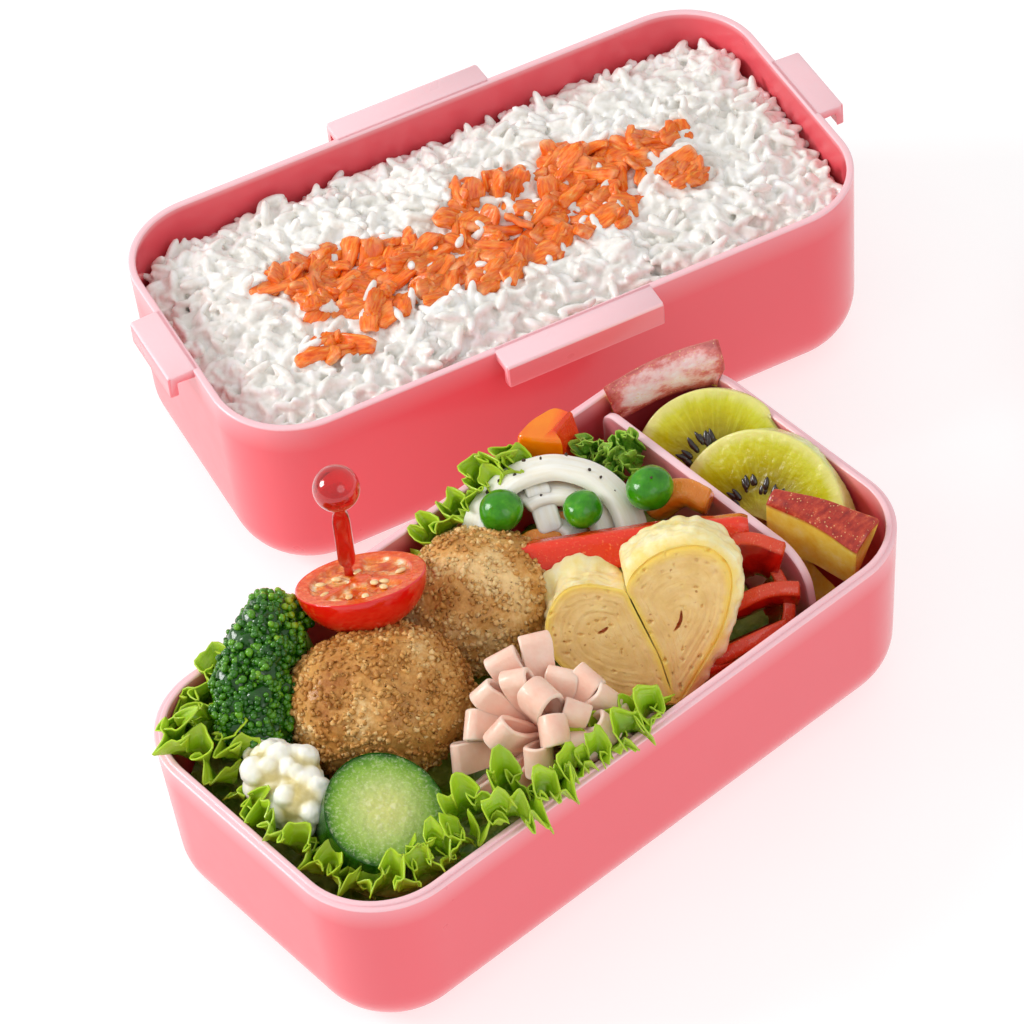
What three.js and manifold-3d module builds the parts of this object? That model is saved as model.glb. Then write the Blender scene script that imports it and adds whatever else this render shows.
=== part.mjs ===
// Two-tier bento lunch box, opened and laid out with its food: a lower tier with a removable
// divider, an upper tier with four locking lugs, and a lid with a seal and four hinged latches.
// Millimetres, +Z up. The origin is the middle of the lower tier's base, which stands on z = 0,
// and +X runs along that tier's long side.
import * as THREE from "three";
import { mergeVertices } from "three/addons/utils/BufferGeometryUtils.js";
import Module from "manifold-3d";

const wasm = await Module();
wasm.setup();

// ---- Driving dimensions ---------------------------------------------------------------------
const LENGTH = 165; // outside length of a tier at its rim
const WIDTH = 84.6; // outside width of a tier at its rim
const CORNER = 20.5; // plan radius of the rim's corners
const BASE_FILLET = 14; // radius between wall and base
const FLOOR = 2.2; // thickness of a tier's floor
const GAP = 0.35; // clearance between touching pieces

const LOWER = { height: 46.7, taper: 2.28, wall: 2.0, rim: 2.5, step: 0.6 };
const UPPER = { height: 51.9, taper: 1.34, wall: 1.8, rim: 1.8, step: 0 };
const UPPER_PLACE = { x: 76.53, y: 99.99, yaw: -14.275 };

const LUG = { long: 40.5, short: 22, reach: 6.3, plate: 2.6, lip: 1.7, drop: 6.4 };
const NOTCH = { width: 16, height: 4, depth: 0.9, y: 8 };

const DIVIDER = { x: 55.6, thickness: 2, top: 46, farRadius: 4, nearRadius: 10, nearEnd: -30.5 };

const LID = { plug: 9.3, plugWall: 1.8, plugGap: 1.0, flange: 2, crown: 6, skin: 2, crownInset: 7 };
const LID_PLACE = { x: 179.5, y: -59, yaw: 53.6 };
const SEAL = { thickness: 0.8, height: 3, below: 1.2 };
const LATCH = { thickness: 2, knuckle: 1.8, pin: 0.9, hole: 1.15, ear: 3, hook: 1.8, below: 8.4, play: 0.5 };

const CORNER_STEPS = 8;
const COLOURS = {
  pink: 0xe8656f,
  pale: 0xf4b9c0,
  seal: 0xf6e9ea,
  pick: 0xd0181c,
  rice: 0xf4f2ee,
  salmon: 0xf0702c,
  leaf: 0x6fa82f,
  broccoli: 0x2f6e1d,
  cauliflower: 0xefe8cf,
  cucumber: 0xa9c46a,
  crumb: 0xa9743a,
  tomato: 0xd92b16,
  ham: 0xeeb6a6,
  egg: 0xf2dc7e,
  pepper: 0xd4220c,
  orange: 0xee7a12,
  onion: 0xf3ead6,
  pea: 0x2f9a1c,
  kiwi: 0xb8c83a,
  apple: 0xe9c65a,
};

// ---- Solids ---------------------------------------------------------------------------------
const degrees = (angle) => (angle * Math.PI) / 180;

// A closed geometry as a manifold solid, turned round if its faces point inwards.
function solid(geometry) {
  const bare = geometry.clone();
  bare.deleteAttribute("normal");
  bare.deleteAttribute("uv");
  const merged = mergeVertices(bare, 1e-4);
  const make = (triVerts) => {
    const vertProperties = merged.attributes.position.array;
    return new wasm.Manifold(new wasm.Mesh({ numProp: 3, vertProperties, triVerts }));
  };
  const triangles = new Uint32Array(merged.index.array);
  const made = make(triangles);
  return made.volume() > 0 ? made : make(triangles.slice().reverse());
}

function geometryOf(shape) {
  const { numProp, numVert, vertProperties, triVerts } = shape.getMesh();
  const position = new Float32Array(numVert * 3);
  for (let i = 0; i < numVert; i++) {
    position.set(vertProperties.subarray(i * numProp, i * numProp + 3), i * 3);
  }
  const geometry = new THREE.BufferGeometry();
  geometry.setAttribute("position", new THREE.BufferAttribute(position, 3));
  geometry.setIndex(new THREE.BufferAttribute(triVerts, 1));
  geometry.computeVertexNormals();
  return geometry;
}

function meshOf(name, shape, colour, roughness = 0.5) {
  const material = new THREE.MeshStandardMaterial({ color: colour, roughness, metalness: 0 });
  const mesh = new THREE.Mesh(geometryOf(shape), material);
  mesh.name = name;
  return mesh;
}

// A horizontal rounded rectangle, anticlockwise from above.
function ring(halfX, halfY, radius, z) {
  const points = [];
  [[1, 1], [-1, 1], [-1, -1], [1, -1]].forEach(([sideX, sideY], corner) => {
    for (let step = 0; step <= CORNER_STEPS; step++) {
      const angle = degrees(90 * (corner + step / CORNER_STEPS));
      const x = sideX * (halfX - radius) + radius * Math.cos(angle);
      const y = sideY * (halfY - radius) + radius * Math.sin(angle);
      points.push([x, y, z]);
    }
  });
  return points;
}

// A skin through rings of equal count, closed by a flat cap at each end.
function loft(rings) {
  const count = rings[0].length;
  const centre = (points) => [0, 1, 2].map((k) => points.reduce((sum, p) => sum + p[k], 0) / count);
  const last = rings.length - 1;
  const vertices = [...rings.flat(), centre(rings[0]), centre(rings[last])];
  const lowCentre = rings.length * count;
  const highCentre = lowCentre + 1;
  const triangles = [];
  for (let j = 0; j < count; j++) {
    const next = (j + 1) % count;
    for (let i = 0; i < last; i++) {
      const a = i * count;
      const b = a + count;
      triangles.push(a + j, a + next, b + next, a + j, b + next, b + j);
    }
    triangles.push(lowCentre, next, j, highCentre, last * count + j, last * count + next);
  }
  const geometry = new THREE.BufferGeometry();
  geometry.setAttribute("position", new THREE.Float32BufferAttribute(vertices.flat(), 3));
  geometry.setIndex(triangles);
  return solid(geometry);
}

// Rings of the tier outline from pairs of inset (inwards from the rim's outside) and height.
const outlineLoft = (profile) =>
  loft(profile.map(([inset, z]) => ring(LENGTH / 2 - inset, WIDTH / 2 - inset, CORNER - inset, z)));

function box(low, high) {
  const size = high.map((value, k) => value - low[k]);
  const middle = high.map((value, k) => (value + low[k]) / 2);
  return solid(new THREE.BoxGeometry(...size).translate(...middle));
}

// An outline in the plane of two axes, given as [u, v] points, extruded along the third.
function extrude(points, depth, matrix) {
  const shape = new THREE.Shape(points.map(([u, v]) => new THREE.Vector2(u, v)));
  const geometry = new THREE.ExtrudeGeometry(shape, { depth, bevelEnabled: false });
  return solid(geometry.translate(0, 0, -depth / 2).applyMatrix4(matrix));
}

const basis = (u, v, w) =>
  new THREE.Matrix4().makeBasis(new THREE.Vector3(...u), new THREE.Vector3(...v), new THREE.Vector3(...w));

function turned(shape, matrix) {
  return solid(geometryOf(shape).applyMatrix4(matrix));
}

function cylinder(radius, from, to, sides = 16) {
  const start = new THREE.Vector3(...from);
  const along = new THREE.Vector3(...to).sub(start);
  const geometry = new THREE.CylinderGeometry(radius, radius, along.length(), sides);
  geometry.translate(0, along.length() / 2, 0);
  const turn = new THREE.Quaternion().setFromUnitVectors(new THREE.Vector3(0, 1, 0), along.clone().normalize());
  return solid(geometry.applyQuaternion(turn).translate(...from));
}

function arc(centreX, centreY, radius, from, to, steps) {
  return Array.from({ length: steps + 1 }, (_, i) => {
    const angle = degrees(from + ((to - from) * i) / steps);
    return [centreX + radius * Math.cos(angle), centreY + radius * Math.sin(angle)];
  });
}

// ---- Tiers ----------------------------------------------------------------------------------
const FILLET_STEPS = 5;
const leanOf = ({ taper, height }, z) => taper * (1 - z / height);

// One fillet between floor and wall, from its lowest point to its highest.
function fillet(radius, wallInset, floorZ) {
  return Array.from({ length: FILLET_STEPS + 1 }, (_, i) => {
    const angle = degrees((90 * i) / FILLET_STEPS);
    return [wallInset + radius * (1 - Math.sin(angle)), floorZ + radius * (1 - Math.cos(angle))];
  });
}

// The fillet inside a tier, moved inwards by `grow`.
const insideFillet = (tier, grow) =>
  fillet(BASE_FILLET - tier.wall, leanOf(tier, BASE_FILLET) + tier.wall + grow, FLOOR + grow);

// Section of a tier from the base, up the outside, over the rim and down to the inside floor.
function tierProfile(tier, grow = 0) {
  const { height, wall, rim, step } = tier;
  const outside = fillet(BASE_FILLET, leanOf(tier, BASE_FILLET) - grow, -grow);
  const stepped = [[rim * 0.45 - grow, height - step + grow], [rim * 0.5, height + grow]];
  const rimTop = [
    [-grow, height - step - 0.5 + grow],
    [0.4 - grow, height - step + grow],
    ...(step > 0 ? stepped : []),
    [rim + grow, height + grow],
  ];
  const rimBand = [[rim + grow, height - 6], [wall + leanOf(tier, height - 7) + grow, height - 7]];
  return [...outside, ...rimTop, ...(step > 0 ? rimBand : []), ...insideFillet(tier, grow).reverse()];
}

const lowerTier = () => {
  const shell = outlineLoft(tierProfile(LOWER));
  const end = -LENGTH / 2;
  const low = [end - 1, NOTCH.y - NOTCH.width / 2, -1];
  const high = [end + LOWER.taper + BASE_FILLET * 0.36 + NOTCH.depth, NOTCH.y + NOTCH.width / 2, NOTCH.height];
  return shell.subtract(box(low, high));
};

// One lug: a flat plate that runs out from the rim and turns down at its outer edge.
function lug(length, wallDistance, height) {
  const { reach, plate, lip, drop } = LUG;
  const root = -1;
  const section = [
    [root, height],
    [root, height - plate],
    [reach - lip, height - plate],
    [reach - lip, height - drop],
    [reach, height - drop],
    [reach, height - 0.6],
    [reach - 0.6, height],
  ].map(([out, z]) => [out + wallDistance, z]);
  return extrude(section, length, basis([1, 0, 0], [0, 0, 1], [0, -1, 0]));
}

const SIDES = [
  { name: "right", yaw: 0, wall: LENGTH / 2, length: LUG.short },
  { name: "back", yaw: 90, wall: WIDTH / 2, length: LUG.long },
  { name: "left", yaw: 180, wall: LENGTH / 2, length: LUG.short },
  { name: "front", yaw: 270, wall: WIDTH / 2, length: LUG.long },
];
const yawMatrix = (yaw) => new THREE.Matrix4().makeRotationZ(degrees(yaw));

function upperTier() {
  let shell = outlineLoft(tierProfile(UPPER));
  for (const { yaw, wall, length } of SIDES) {
    shell = shell.add(turned(lug(length, wall, UPPER.height), yawMatrix(yaw)));
  }
  return shell;
}

// A plate across the lower tier that follows the floor's fillets. Its front upper corner is cut
// back in a round shoulder that leaves room for a fingertip.
function divider() {
  const { x, thickness, top, farRadius, nearRadius, nearEnd } = DIVIDER;
  const side = WIDTH / 2 - LOWER.taper - LOWER.wall - GAP - 0.2;
  const fillet = BASE_FILLET - LOWER.wall + 0.5;
  const bottom = FLOOR + GAP;
  const outline = [
    ...arc(side - fillet, bottom + fillet, fillet, -90, 0, 5),
    ...arc(side - farRadius, top - farRadius, farRadius, 0, 90, 4),
    ...arc(nearEnd + nearRadius, top - nearRadius, nearRadius, 90, 180, 6),
    [-side, bottom + fillet + 4],
    ...arc(-side + fillet, bottom + fillet, fillet, 180, 270, 5),
  ];
  return extrude(outline, thickness, basis([0, 1, 0], [0, 0, 1], [1, 0, 0]).setPosition(x, 0, 0));
}

// ---- Lid ------------------------------------------------------------------------------------
// The lid lies right side up on the rim of its plug, the wall that drops inside the upper tier.
const flangeZ = LID.plug;
const hinge = { out: LUG.reach - 0.2, z: flangeZ + LID.flange - 0.2 };

function lidEar(side, sign) {
  const inner = sign * (side.length / 2 + 0.4);
  const outer = inner + sign * LATCH.ear;
  const radius = LATCH.knuckle + 0.2;
  const section = [
    [side.wall - 1, hinge.z - radius],
    ...arc(side.wall + hinge.out, hinge.z, radius, -90, 90, 8),
    [side.wall - 1, hinge.z + radius],
  ];
  const ear = extrude(section, LATCH.ear, basis([1, 0, 0], [0, 0, 1], [0, -1, 0]));
  const bore = cylinder(LATCH.hole, [side.wall + hinge.out, -9, hinge.z], [side.wall + hinge.out, 9, hinge.z], 20);
  const placed = new THREE.Matrix4().makeTranslation(0, (inner + outer) / 2, 0);
  return turned(turned(ear.subtract(bore), placed), yawMatrix(side.yaw));
}

function lidShell() {
  const plugOut = UPPER.rim + LID.plugGap;
  const plugIn = plugOut + LID.plugWall;
  const top = flangeZ + LID.flange + LID.crown;
  const { skin, crownInset } = LID;
  const profile = [
    [plugIn, flangeZ - 0.5],
    [plugIn, 0],
    [plugOut, 0],
    [plugOut, flangeZ],
    [0, flangeZ],
    [-0.6, flangeZ + 0.6],
    [-0.6, flangeZ + LID.flange - 0.6],
    [0, flangeZ + LID.flange],
    [crownInset * 0.35, top - 1.6],
    [crownInset * 0.6, top - 0.4],
    [crownInset, top],
  ];
  const crownSolid = outlineLoft([[plugOut, 0], ...profile.slice(3)]);
  const hollow = outlineLoft([
    [plugIn, -1],
    [plugIn, flangeZ],
    [plugIn + 1.5, top - skin - 0.8],
    [plugIn + crownInset * 0.5, top - skin],
  ]);
  let shell = crownSolid.subtract(hollow);
  for (const side of SIDES) {
    shell = shell.add(lidEar(side, 1)).add(lidEar(side, -1));
  }
  return shell;
}

// A soft ring round the plug, just under the flange.
function lidSeal() {
  const inner = UPPER.rim + LID.plugGap - GAP / 2;
  const high = flangeZ - GAP;
  const low = high - SEAL.height;
  const outer = inner - SEAL.thickness;
  const outside = outlineLoft([[outer + 0.3, low], [outer, low + 0.6], [outer, high - 0.6], [outer + 0.3, high]]);
  return outside.subtract(outlineLoft([[inner, low - 1], [inner, high + 1]]));
}

// A flap that hangs from its pin, clears the lug's lip and hooks under it.
function latch(side) {
  const x = side.wall + hinge.out;
  const half = side.length / 2;
  const flapIn = side.wall + LUG.reach + LATCH.play;
  const flapOut = flapIn + LATCH.thickness;
  const low = flangeZ - LATCH.below;
  const section = [
    [flapIn, hinge.z],
    [flapIn, flangeZ - LUG.drop - 0.2],
    [flapIn - LATCH.hook, flangeZ - LUG.drop - 0.5],
    [flapIn - LATCH.hook, low + 0.4],
    [flapIn - LATCH.hook + 0.4, low],
    [flapOut + 0.6, low],
    [flapOut + 0.9, low + 0.8],
    [flapOut, low + 2.4],
    [flapOut, hinge.z + 0.6],
    [flapOut - 0.8, hinge.z + 1.4],
  ];
  const flap = extrude(section, side.length, basis([1, 0, 0], [0, 0, 1], [0, -1, 0]));
  const knuckle = cylinder(LATCH.knuckle, [x, -half, hinge.z], [x, half, hinge.z]);
  const reach = half + 0.4 + LATCH.ear - 0.3;
  const pin = cylinder(LATCH.pin, [x, -reach, hinge.z], [x, reach, hinge.z]);
  return turned(flap.add(knuckle).add(pin), yawMatrix(side.yaw));
}

// ---- Food -----------------------------------------------------------------------------------
const aimed = ([x, y, z]) =>
  new THREE.Quaternion().setFromUnitVectors(new THREE.Vector3(0, 0, 1), new THREE.Vector3(x, y, z).normalize());
const yawed = (angle, tilt = 0) =>
  new THREE.Quaternion().setFromEuler(new THREE.Euler(0, degrees(tilt), degrees(angle), "ZYX"));

// Each maker takes a growth, so that a neighbour can be cut back from the same shape.
const lump = (radii, at, turn = yawed(0)) => (grow) => {
  const [a, b, c] = radii.map((radius) => radius + grow);
  return solid(new THREE.SphereGeometry(1, 14, 9).scale(a, b, c).applyQuaternion(turn).translate(...at));
};

const prism = (outline, depth, at, turn) => (grow) => {
  const shape = new THREE.Shape(outline.map(([u, v]) => new THREE.Vector2(u, v)));
  const options = { depth: depth - 1.6, bevelThickness: 0.8 + grow, bevelSize: grow, bevelOffset: 0, bevelSegments: 1 };
  const geometry = new THREE.ExtrudeGeometry(shape, options).translate(0, 0, -(depth - 1.6) / 2);
  return solid(geometry.applyQuaternion(turn).translate(...at));
};

const CIRCLE = (radius, steps = 18) => arc(0, 0, radius, 0, 360 - 360 / steps, steps - 1);
const HALF_CIRCLE = (radius) => [...arc(0, 0, radius, 0, 180, 12)];
const OVAL = (a, b, steps = 16) => CIRCLE(1, steps).map(([u, v]) => [a * u, b * v]);
const BAR = (a, b) => [[a, b - 1], [a - 1, b], [1 - a, b], [-a, b - 1], [-a, 1 - b], [1 - a, -b], [a - 1, -b], [a, 1 - b]];

// Turns of a flat piece whose face looks along `face` and whose own x axis runs near `along`.
function facing(face, along) {
  const w = new THREE.Vector3(...face).normalize();
  const u = new THREE.Vector3(...along);
  u.addScaledVector(w, -u.dot(w)).normalize();
  const v = new THREE.Vector3().crossVectors(w, u);
  return new THREE.Quaternion().setFromRotationMatrix(new THREE.Matrix4().makeBasis(u, v, w));
}

const LETTUCE_TOP = 26;
const FRONT = [-0.41, -0.55, 0.73]; // the way the cut faces look, up and to the front left
const LOWER_FOOD = [
  ["croquette_front", lump([20.5, 17.5, 15.5], [-35.5, 9, 42], yawed(-35)), "crumb"],
  ["croquette_back", lump([18.5, 16.5, 15], [0.5, 19.5, 38], yawed(-20)), "crumb"],
  ["cucumber_slice", prism(CIRCLE(13.3), 12, [-57.2, -16.3, 41], aimed([-0.3, -0.45, 0.84])), "cucumber"],
  ["egg_roll_left", prism(OVAL(11, 15), 18, [12, -5.5, 40], facing(FRONT, [0.9, -0.3, -0.2])), "egg"],
  ["egg_roll_right", prism(OVAL(12.5, 17), 18, [32, -17.5, 41], facing(FRONT, [0.9, -0.9, 0.3])), "egg"],
  ["tomato_half", lump([14.5, 14.5, 10], [-25, 27.5, 51.5], aimed([0.15, 0.2, 0.97])), "tomato"],
  ["broccoli", lump([17, 8.5, 10], [-50, 30, 48.5], yawed(28)), "broccoli"],
  ["cauliflower", lump([9, 11, 9], [-66, 4.5, 44], yawed(20)), "cauliflower"],
  ["ham_flower", lump([20, 14, 14], [-12, -20, 44], yawed(-35)), "ham"],
  ["pepper_strip", prism(BAR(25, 5), 9, [33, 1, 46], facing([-0.35, -0.5, 0.8], [39, -30, 0])), "pepper"],
  ["pepper_chunk", lump([6, 8, 10], [47, -25, 33]), "pepper"],
  ["onion_slice", prism(OVAL(15, 8), 5, [28, 22, 45], facing([-0.2, -0.3, 0.93], [1, -0.8, 0])), "onion"],
  ["pea_left", lump([5.2, 5.2, 5.2], [15.5, 26.5, 51]), "pea"],
  ["pea_middle", lump([4.7, 4.7, 4.7], [28.5, 13.5, 51]), "pea"],
  ["pea_right", lump([5.5, 5.5, 5.5], [42, 6, 53]), "pea"],
  ["orange_pepper", lump([7, 5, 8], [38.5, 36, 47.5]), "orange"],
  ["orange_chunk", lump([4.2, 4.5, 5], [49, 4, 45]), "orange"],
  ["parsley", lump([6, 7, 7], [47, 26.5, 47]), "leaf"],
  ["lettuce_left", lump([8, 17, 12], [-71, 26, 46], yawed(-8)), "leaf"],
  ["lettuce_corner", lump([8, 15, 8], [-69, -23, 42], yawed(35)), "leaf"],
  ["lettuce_front", lump([28, 6.5, 8], [-27, -34, 45], yawed(-2)), "leaf"],
  ["lettuce_back", lump([15, 5, 12], [11, 36.5, 50]), "leaf"],
  ["kiwi_front", prism(HALF_CIRCLE(20.5), 8, [66.8, -5, 34], facing([-0.72, -0.22, 0.66], [0.31, -0.95, 0])), "kiwi"],
  ["kiwi_back", prism(HALF_CIRCLE(17), 8, [70, 14, 35], facing([-0.6, -0.4, 0.7], [0.6, -0.8, 0])), "kiwi"],
  ["apple_front", lump([9, 12, 9], [67.5, -21, 38.5], yawed(15)), "apple"],
  ["apple_back", lump([14, 7, 7], [70, 31, 49.5], yawed(-35)), "apple"],
  ["apple_low", lump([10.5, 30, 12], [68.5, 2, 16]), "apple"],
];

// The divider is drawn straight up, so its way is kept free.
const dividerWay = () => {
  const half = DIVIDER.thickness / 2 + GAP;
  return box([DIVIDER.x - half, -60, 0], [DIVIDER.x + half, 60, 150]);
};

// ---- Pick -----------------------------------------------------------------------------------
const PICK = { x: -22.5, y: 33.5, low: 45, ball: 81.5, ballRadius: 5, stem: 1.5 };

function pickPart(grow = 0) {
  const { low, ball, ballRadius, stem } = PICK;
  const shoulder = ball - ballRadius;
  const points = [
    [0, low - grow],
    [stem * 0.4 + grow, low + 1],
    [stem + grow, low + 5],
    [stem + grow, shoulder - 3.5],
    [stem * 0.8 + grow, shoulder - 1.6],
    [stem * 1.5 + grow, shoulder],
    ...arc(0, ball, ballRadius + grow, -66, 66, 8),
    [0, ball + ballRadius + grow],
  ].map(([x, y]) => new THREE.Vector2(x, y));
  return solid(new THREE.LatheGeometry(points, 16).rotateX(Math.PI / 2).translate(PICK.x, PICK.y, 0));
}

// The leaves that line the large compartment, level with the undersides of the food.
function lettuceBed(grow = 0) {
  const wall = leanOf(LOWER, BASE_FILLET) + LOWER.wall + GAP - grow;
  const filled = outlineLoft([...insideFillet(LOWER, GAP - grow), [wall, LETTUCE_TOP + grow]]);
  const beyondDivider = DIVIDER.x - DIVIDER.thickness / 2 - GAP + grow;
  return filled.subtract(box([beyondDivider, -60, -1], [LENGTH, 60, 60]));
}

function lowerFood() {
  const keepOut = outlineLoft(tierProfile(LOWER, GAP)).add(dividerWay());
  const pickWay = pickPart(GAP).add(cylinder(PICK.stem + GAP, [PICK.x, PICK.y, 46], [PICK.x, PICK.y, 60]));
  const placed = [lettuceBed(GAP)];
  const pieces = LOWER_FOOD.map(([name, make, colour]) => {
    let shape = make(0).subtract(keepOut).subtract(pickWay);
    for (const grown of placed) shape = shape.subtract(grown);
    placed.push(make(GAP));
    return meshOf(name, shape, COLOURS[colour], 0.6);
  });
  return [meshOf("lettuce_bed", lettuceBed(), COLOURS.leaf, 0.6), ...pieces];
}

// ---- Rice and salmon ------------------------------------------------------------------------
const RICE = { edge: 40.5, shoulder: 42.5, crown: 44.5 };

function riceBed(grow = 0) {
  const wall = leanOf(UPPER, BASE_FILLET) + UPPER.wall + GAP - grow;
  return outlineLoft([
    ...insideFillet(UPPER, GAP - grow),
    [wall, RICE.edge + grow],
    [wall + 6, RICE.shoulder + grow],
    [CORNER - 0.5, RICE.crown + grow],
  ]);
}

const SALMON = [
  ["salmon_left", lump([19, 13, 5], [-39, -6, 45], yawed(12))],
  ["salmon_middle", lump([18, 13, 5.5], [0, 1.5, 45.5], yawed(15))],
  ["salmon_right", lump([19, 13, 5], [38, 5, 45], yawed(5))],
];

// ---- Assembly -------------------------------------------------------------------------------
function placedGroup({ x, y, yaw }, meshes) {
  const group = new THREE.Group();
  group.position.set(x, y, 0);
  group.rotation.z = degrees(yaw);
  meshes.forEach((mesh) => group.add(mesh));
  return group;
}

const upperMeshes = () => {
  const grownRice = riceBed(GAP);
  const salmon = [];
  const flakes = SALMON.map(([name, make]) => {
    let shape = make(0).subtract(grownRice);
    for (const grown of salmon) shape = shape.subtract(grown);
    salmon.push(make(GAP));
    return meshOf(name, shape, COLOURS.salmon, 0.6);
  });
  return [
    meshOf("upper_tier", upperTier(), COLOURS.pink, 0.3),
    meshOf("rice_bed", riceBed(), COLOURS.rice, 0.6),
    ...flakes,
  ];
};

const lidMeshes = () => [
  meshOf("lid_shell", lidShell(), COLOURS.pink, 0.3),
  meshOf("lid_seal", lidSeal(), COLOURS.seal, 0.5),
  ...SIDES.map((side) => meshOf("latch_" + side.name, latch(side), COLOURS.pale, 0.3)),
];

const bento = new THREE.Group();
bento.add(meshOf("lower_tier", lowerTier(), COLOURS.pink, 0.3));
bento.add(meshOf("divider", divider(), COLOURS.pink, 0.35));
bento.add(meshOf("food_pick", pickPart(), COLOURS.pick, 0.1));
lowerFood().forEach((mesh) => bento.add(mesh));
bento.add(placedGroup(UPPER_PLACE, upperMeshes()));
bento.add(placedGroup(LID_PLACE, lidMeshes()));

export default bento;
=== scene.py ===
"""Looks of the two-tier bento lunch box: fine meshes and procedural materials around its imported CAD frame.

Lengths in this file are millimetres unless a name says otherwise; meshes are written in metres.
"""
import math

import bpy
import numpy as np
from mathutils import Matrix, Vector, noise


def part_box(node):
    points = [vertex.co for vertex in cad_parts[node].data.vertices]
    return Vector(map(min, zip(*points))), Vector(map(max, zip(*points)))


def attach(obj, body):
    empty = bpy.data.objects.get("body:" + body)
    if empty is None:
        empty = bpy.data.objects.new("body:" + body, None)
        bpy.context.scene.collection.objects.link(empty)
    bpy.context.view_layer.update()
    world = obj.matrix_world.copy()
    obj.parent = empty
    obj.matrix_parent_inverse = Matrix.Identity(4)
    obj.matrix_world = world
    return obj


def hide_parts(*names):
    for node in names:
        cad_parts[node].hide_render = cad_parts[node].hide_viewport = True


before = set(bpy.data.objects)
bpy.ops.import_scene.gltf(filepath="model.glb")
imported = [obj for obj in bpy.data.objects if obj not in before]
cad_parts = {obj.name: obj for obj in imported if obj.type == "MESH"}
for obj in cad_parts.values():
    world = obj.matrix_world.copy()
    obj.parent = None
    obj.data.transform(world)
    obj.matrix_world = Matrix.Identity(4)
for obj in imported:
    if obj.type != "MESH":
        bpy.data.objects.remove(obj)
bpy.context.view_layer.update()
MM = 0.001

# ---- Driving dimensions, as in the CAD ------------------------------------------------------
LENGTH, WIDTH, CORNER = 165.0, 84.6, 20.5
BASE_FILLET, FLOOR = 14.0, 2.2
CORNER_STEPS = 20
LOWER = {"height": 46.7, "taper": 2.28, "wall": 2.0, "rim": 2.5, "step": 0.6}
UPPER = {"height": 51.9, "taper": 1.34, "wall": 1.8, "rim": 1.8, "step": 0.0}
UPPER_PLACE = (76.53, 99.99, -14.275)
LID_PLACE = (179.5, -59.0, 53.6)
LUG = {"long": 40.5, "short": 22.0, "reach": 6.3, "plate": 2.6, "lip": 1.7, "drop": 6.4}
RICE_EDGE, RICE_CROWN = 40.5, 44.5

# ---- Placing --------------------------------------------------------------------------------


def unit(vector):
    vector = np.asarray(vector, float)
    return vector / np.linalg.norm(vector)


def frame_axes(face, along):
    """Columns u, v, w of a piece whose face looks along `face` and whose u axis runs near `along`."""
    w = unit(face)
    u = np.asarray(along, float)
    u = unit(u - w * np.dot(u, w))
    return np.column_stack([u, np.cross(w, u), w])


def yaw_axes(angle):
    a = math.radians(angle)
    return np.array([[math.cos(a), -math.sin(a), 0], [math.sin(a), math.cos(a), 0], [0, 0, 1]])


def tier_to_row(points, place):
    """Points of a tier's or the lid's own frame, in the row frame."""
    x, y, yaw = place
    return np.asarray(points, float) @ yaw_axes(yaw).T + (x, y, 0)


# ---- Meshes ---------------------------------------------------------------------------------


def kept_inside(points):
    """Points of a food pressed back inside the lower tier's wall, free to lean over it above the rim."""
    half = np.array([LENGTH / 2, WIDTH / 2]) - 3.0
    radius = CORNER - 3.0
    nearest = np.clip(points[:, :2], radius - half, half - radius)
    away = points[:, :2] - nearest
    below = np.clip(1 - points[:, 2] / LOWER["height"], 0, 1)
    above = np.clip(points[:, 2] - LOWER["height"], 0, 4.5)
    allowed = radius - LOWER["taper"] * below + 1.6 * above
    kept = points.copy()
    kept[:, :2] = nearest + away * np.minimum(1, allowed / np.maximum(np.hypot(*away.T), 1e-6))[:, None]
    return kept


def piece(name, vertices, faces, material, body, slot, nodes=(), sharp=40, local=None, extra=None, keep=True):
    """A mesh object from millimetre vertices that rides on a body and stands for CAD nodes.

    `keep` presses a food of the lower tier back inside the wall.
    """
    vertices = np.asarray(vertices, float)
    if keep and body == "lower_tier" and slot != "tier_pink":
        vertices = kept_inside(vertices)
    mesh = bpy.data.meshes.new(name)
    mesh.from_pydata((vertices * MM).tolist(), [], faces if isinstance(faces, list) else faces.tolist())
    mesh.update()
    mesh.shade_smooth()
    if sharp is not None:
        mesh.set_sharp_from_angle(angle=math.radians(sharp))
    if local is not None:
        layer = mesh.attributes.new("local", "FLOAT_VECTOR", "POINT")
        layer.data.foreach_set("vector", np.asarray(local, np.float32).ravel())
    for key, values in (extra or {}).items():
        layer = mesh.attributes.new(key, "FLOAT", "POINT")
        layer.data.foreach_set("value", np.asarray(values, np.float32).ravel())
    mesh.materials.append(material)
    obj = bpy.data.objects.new(name, mesh)
    bpy.context.scene.collection.objects.link(obj)
    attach(obj, body)
    if nodes:
        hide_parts(*nodes)
    return obj


def merged(shells):
    """Shells of (vertices, faces, note, ...) as one shell, the notes being arrays with one row for each vertex."""
    faces, offset = [], 0
    for points, polygons, *_ in shells:
        faces.extend([[i + offset for i in polygon] for polygon in polygons])
        offset += len(points)
    vertices, _, *notes = zip(*shells)
    return np.vstack(vertices), faces, *(np.concatenate(note) for note in notes)


def grid_faces(rows, columns, wrap=False):
    """Quads between rows of points; wrap closes each row on itself."""
    last = columns if wrap else columns - 1
    row = np.arange(rows - 1)[:, None] * columns
    column = np.arange(last)[None, :]
    following = (column + 1) % columns
    a, b = row + column, row + following
    return np.stack([a, b, b + columns, a + columns], -1).reshape(-1, 4).tolist()


def tube_faces(rows, columns, flipped=False):
    """Quads round a tube of `rows` rings, with a flat cap at each end."""
    faces = grid_faces(rows, columns, wrap=True)
    faces += [list(range(columns))[::-1], [(rows - 1) * columns + i for i in range(columns)]]
    return [face[::-1] for face in faces] if flipped else faces


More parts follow.
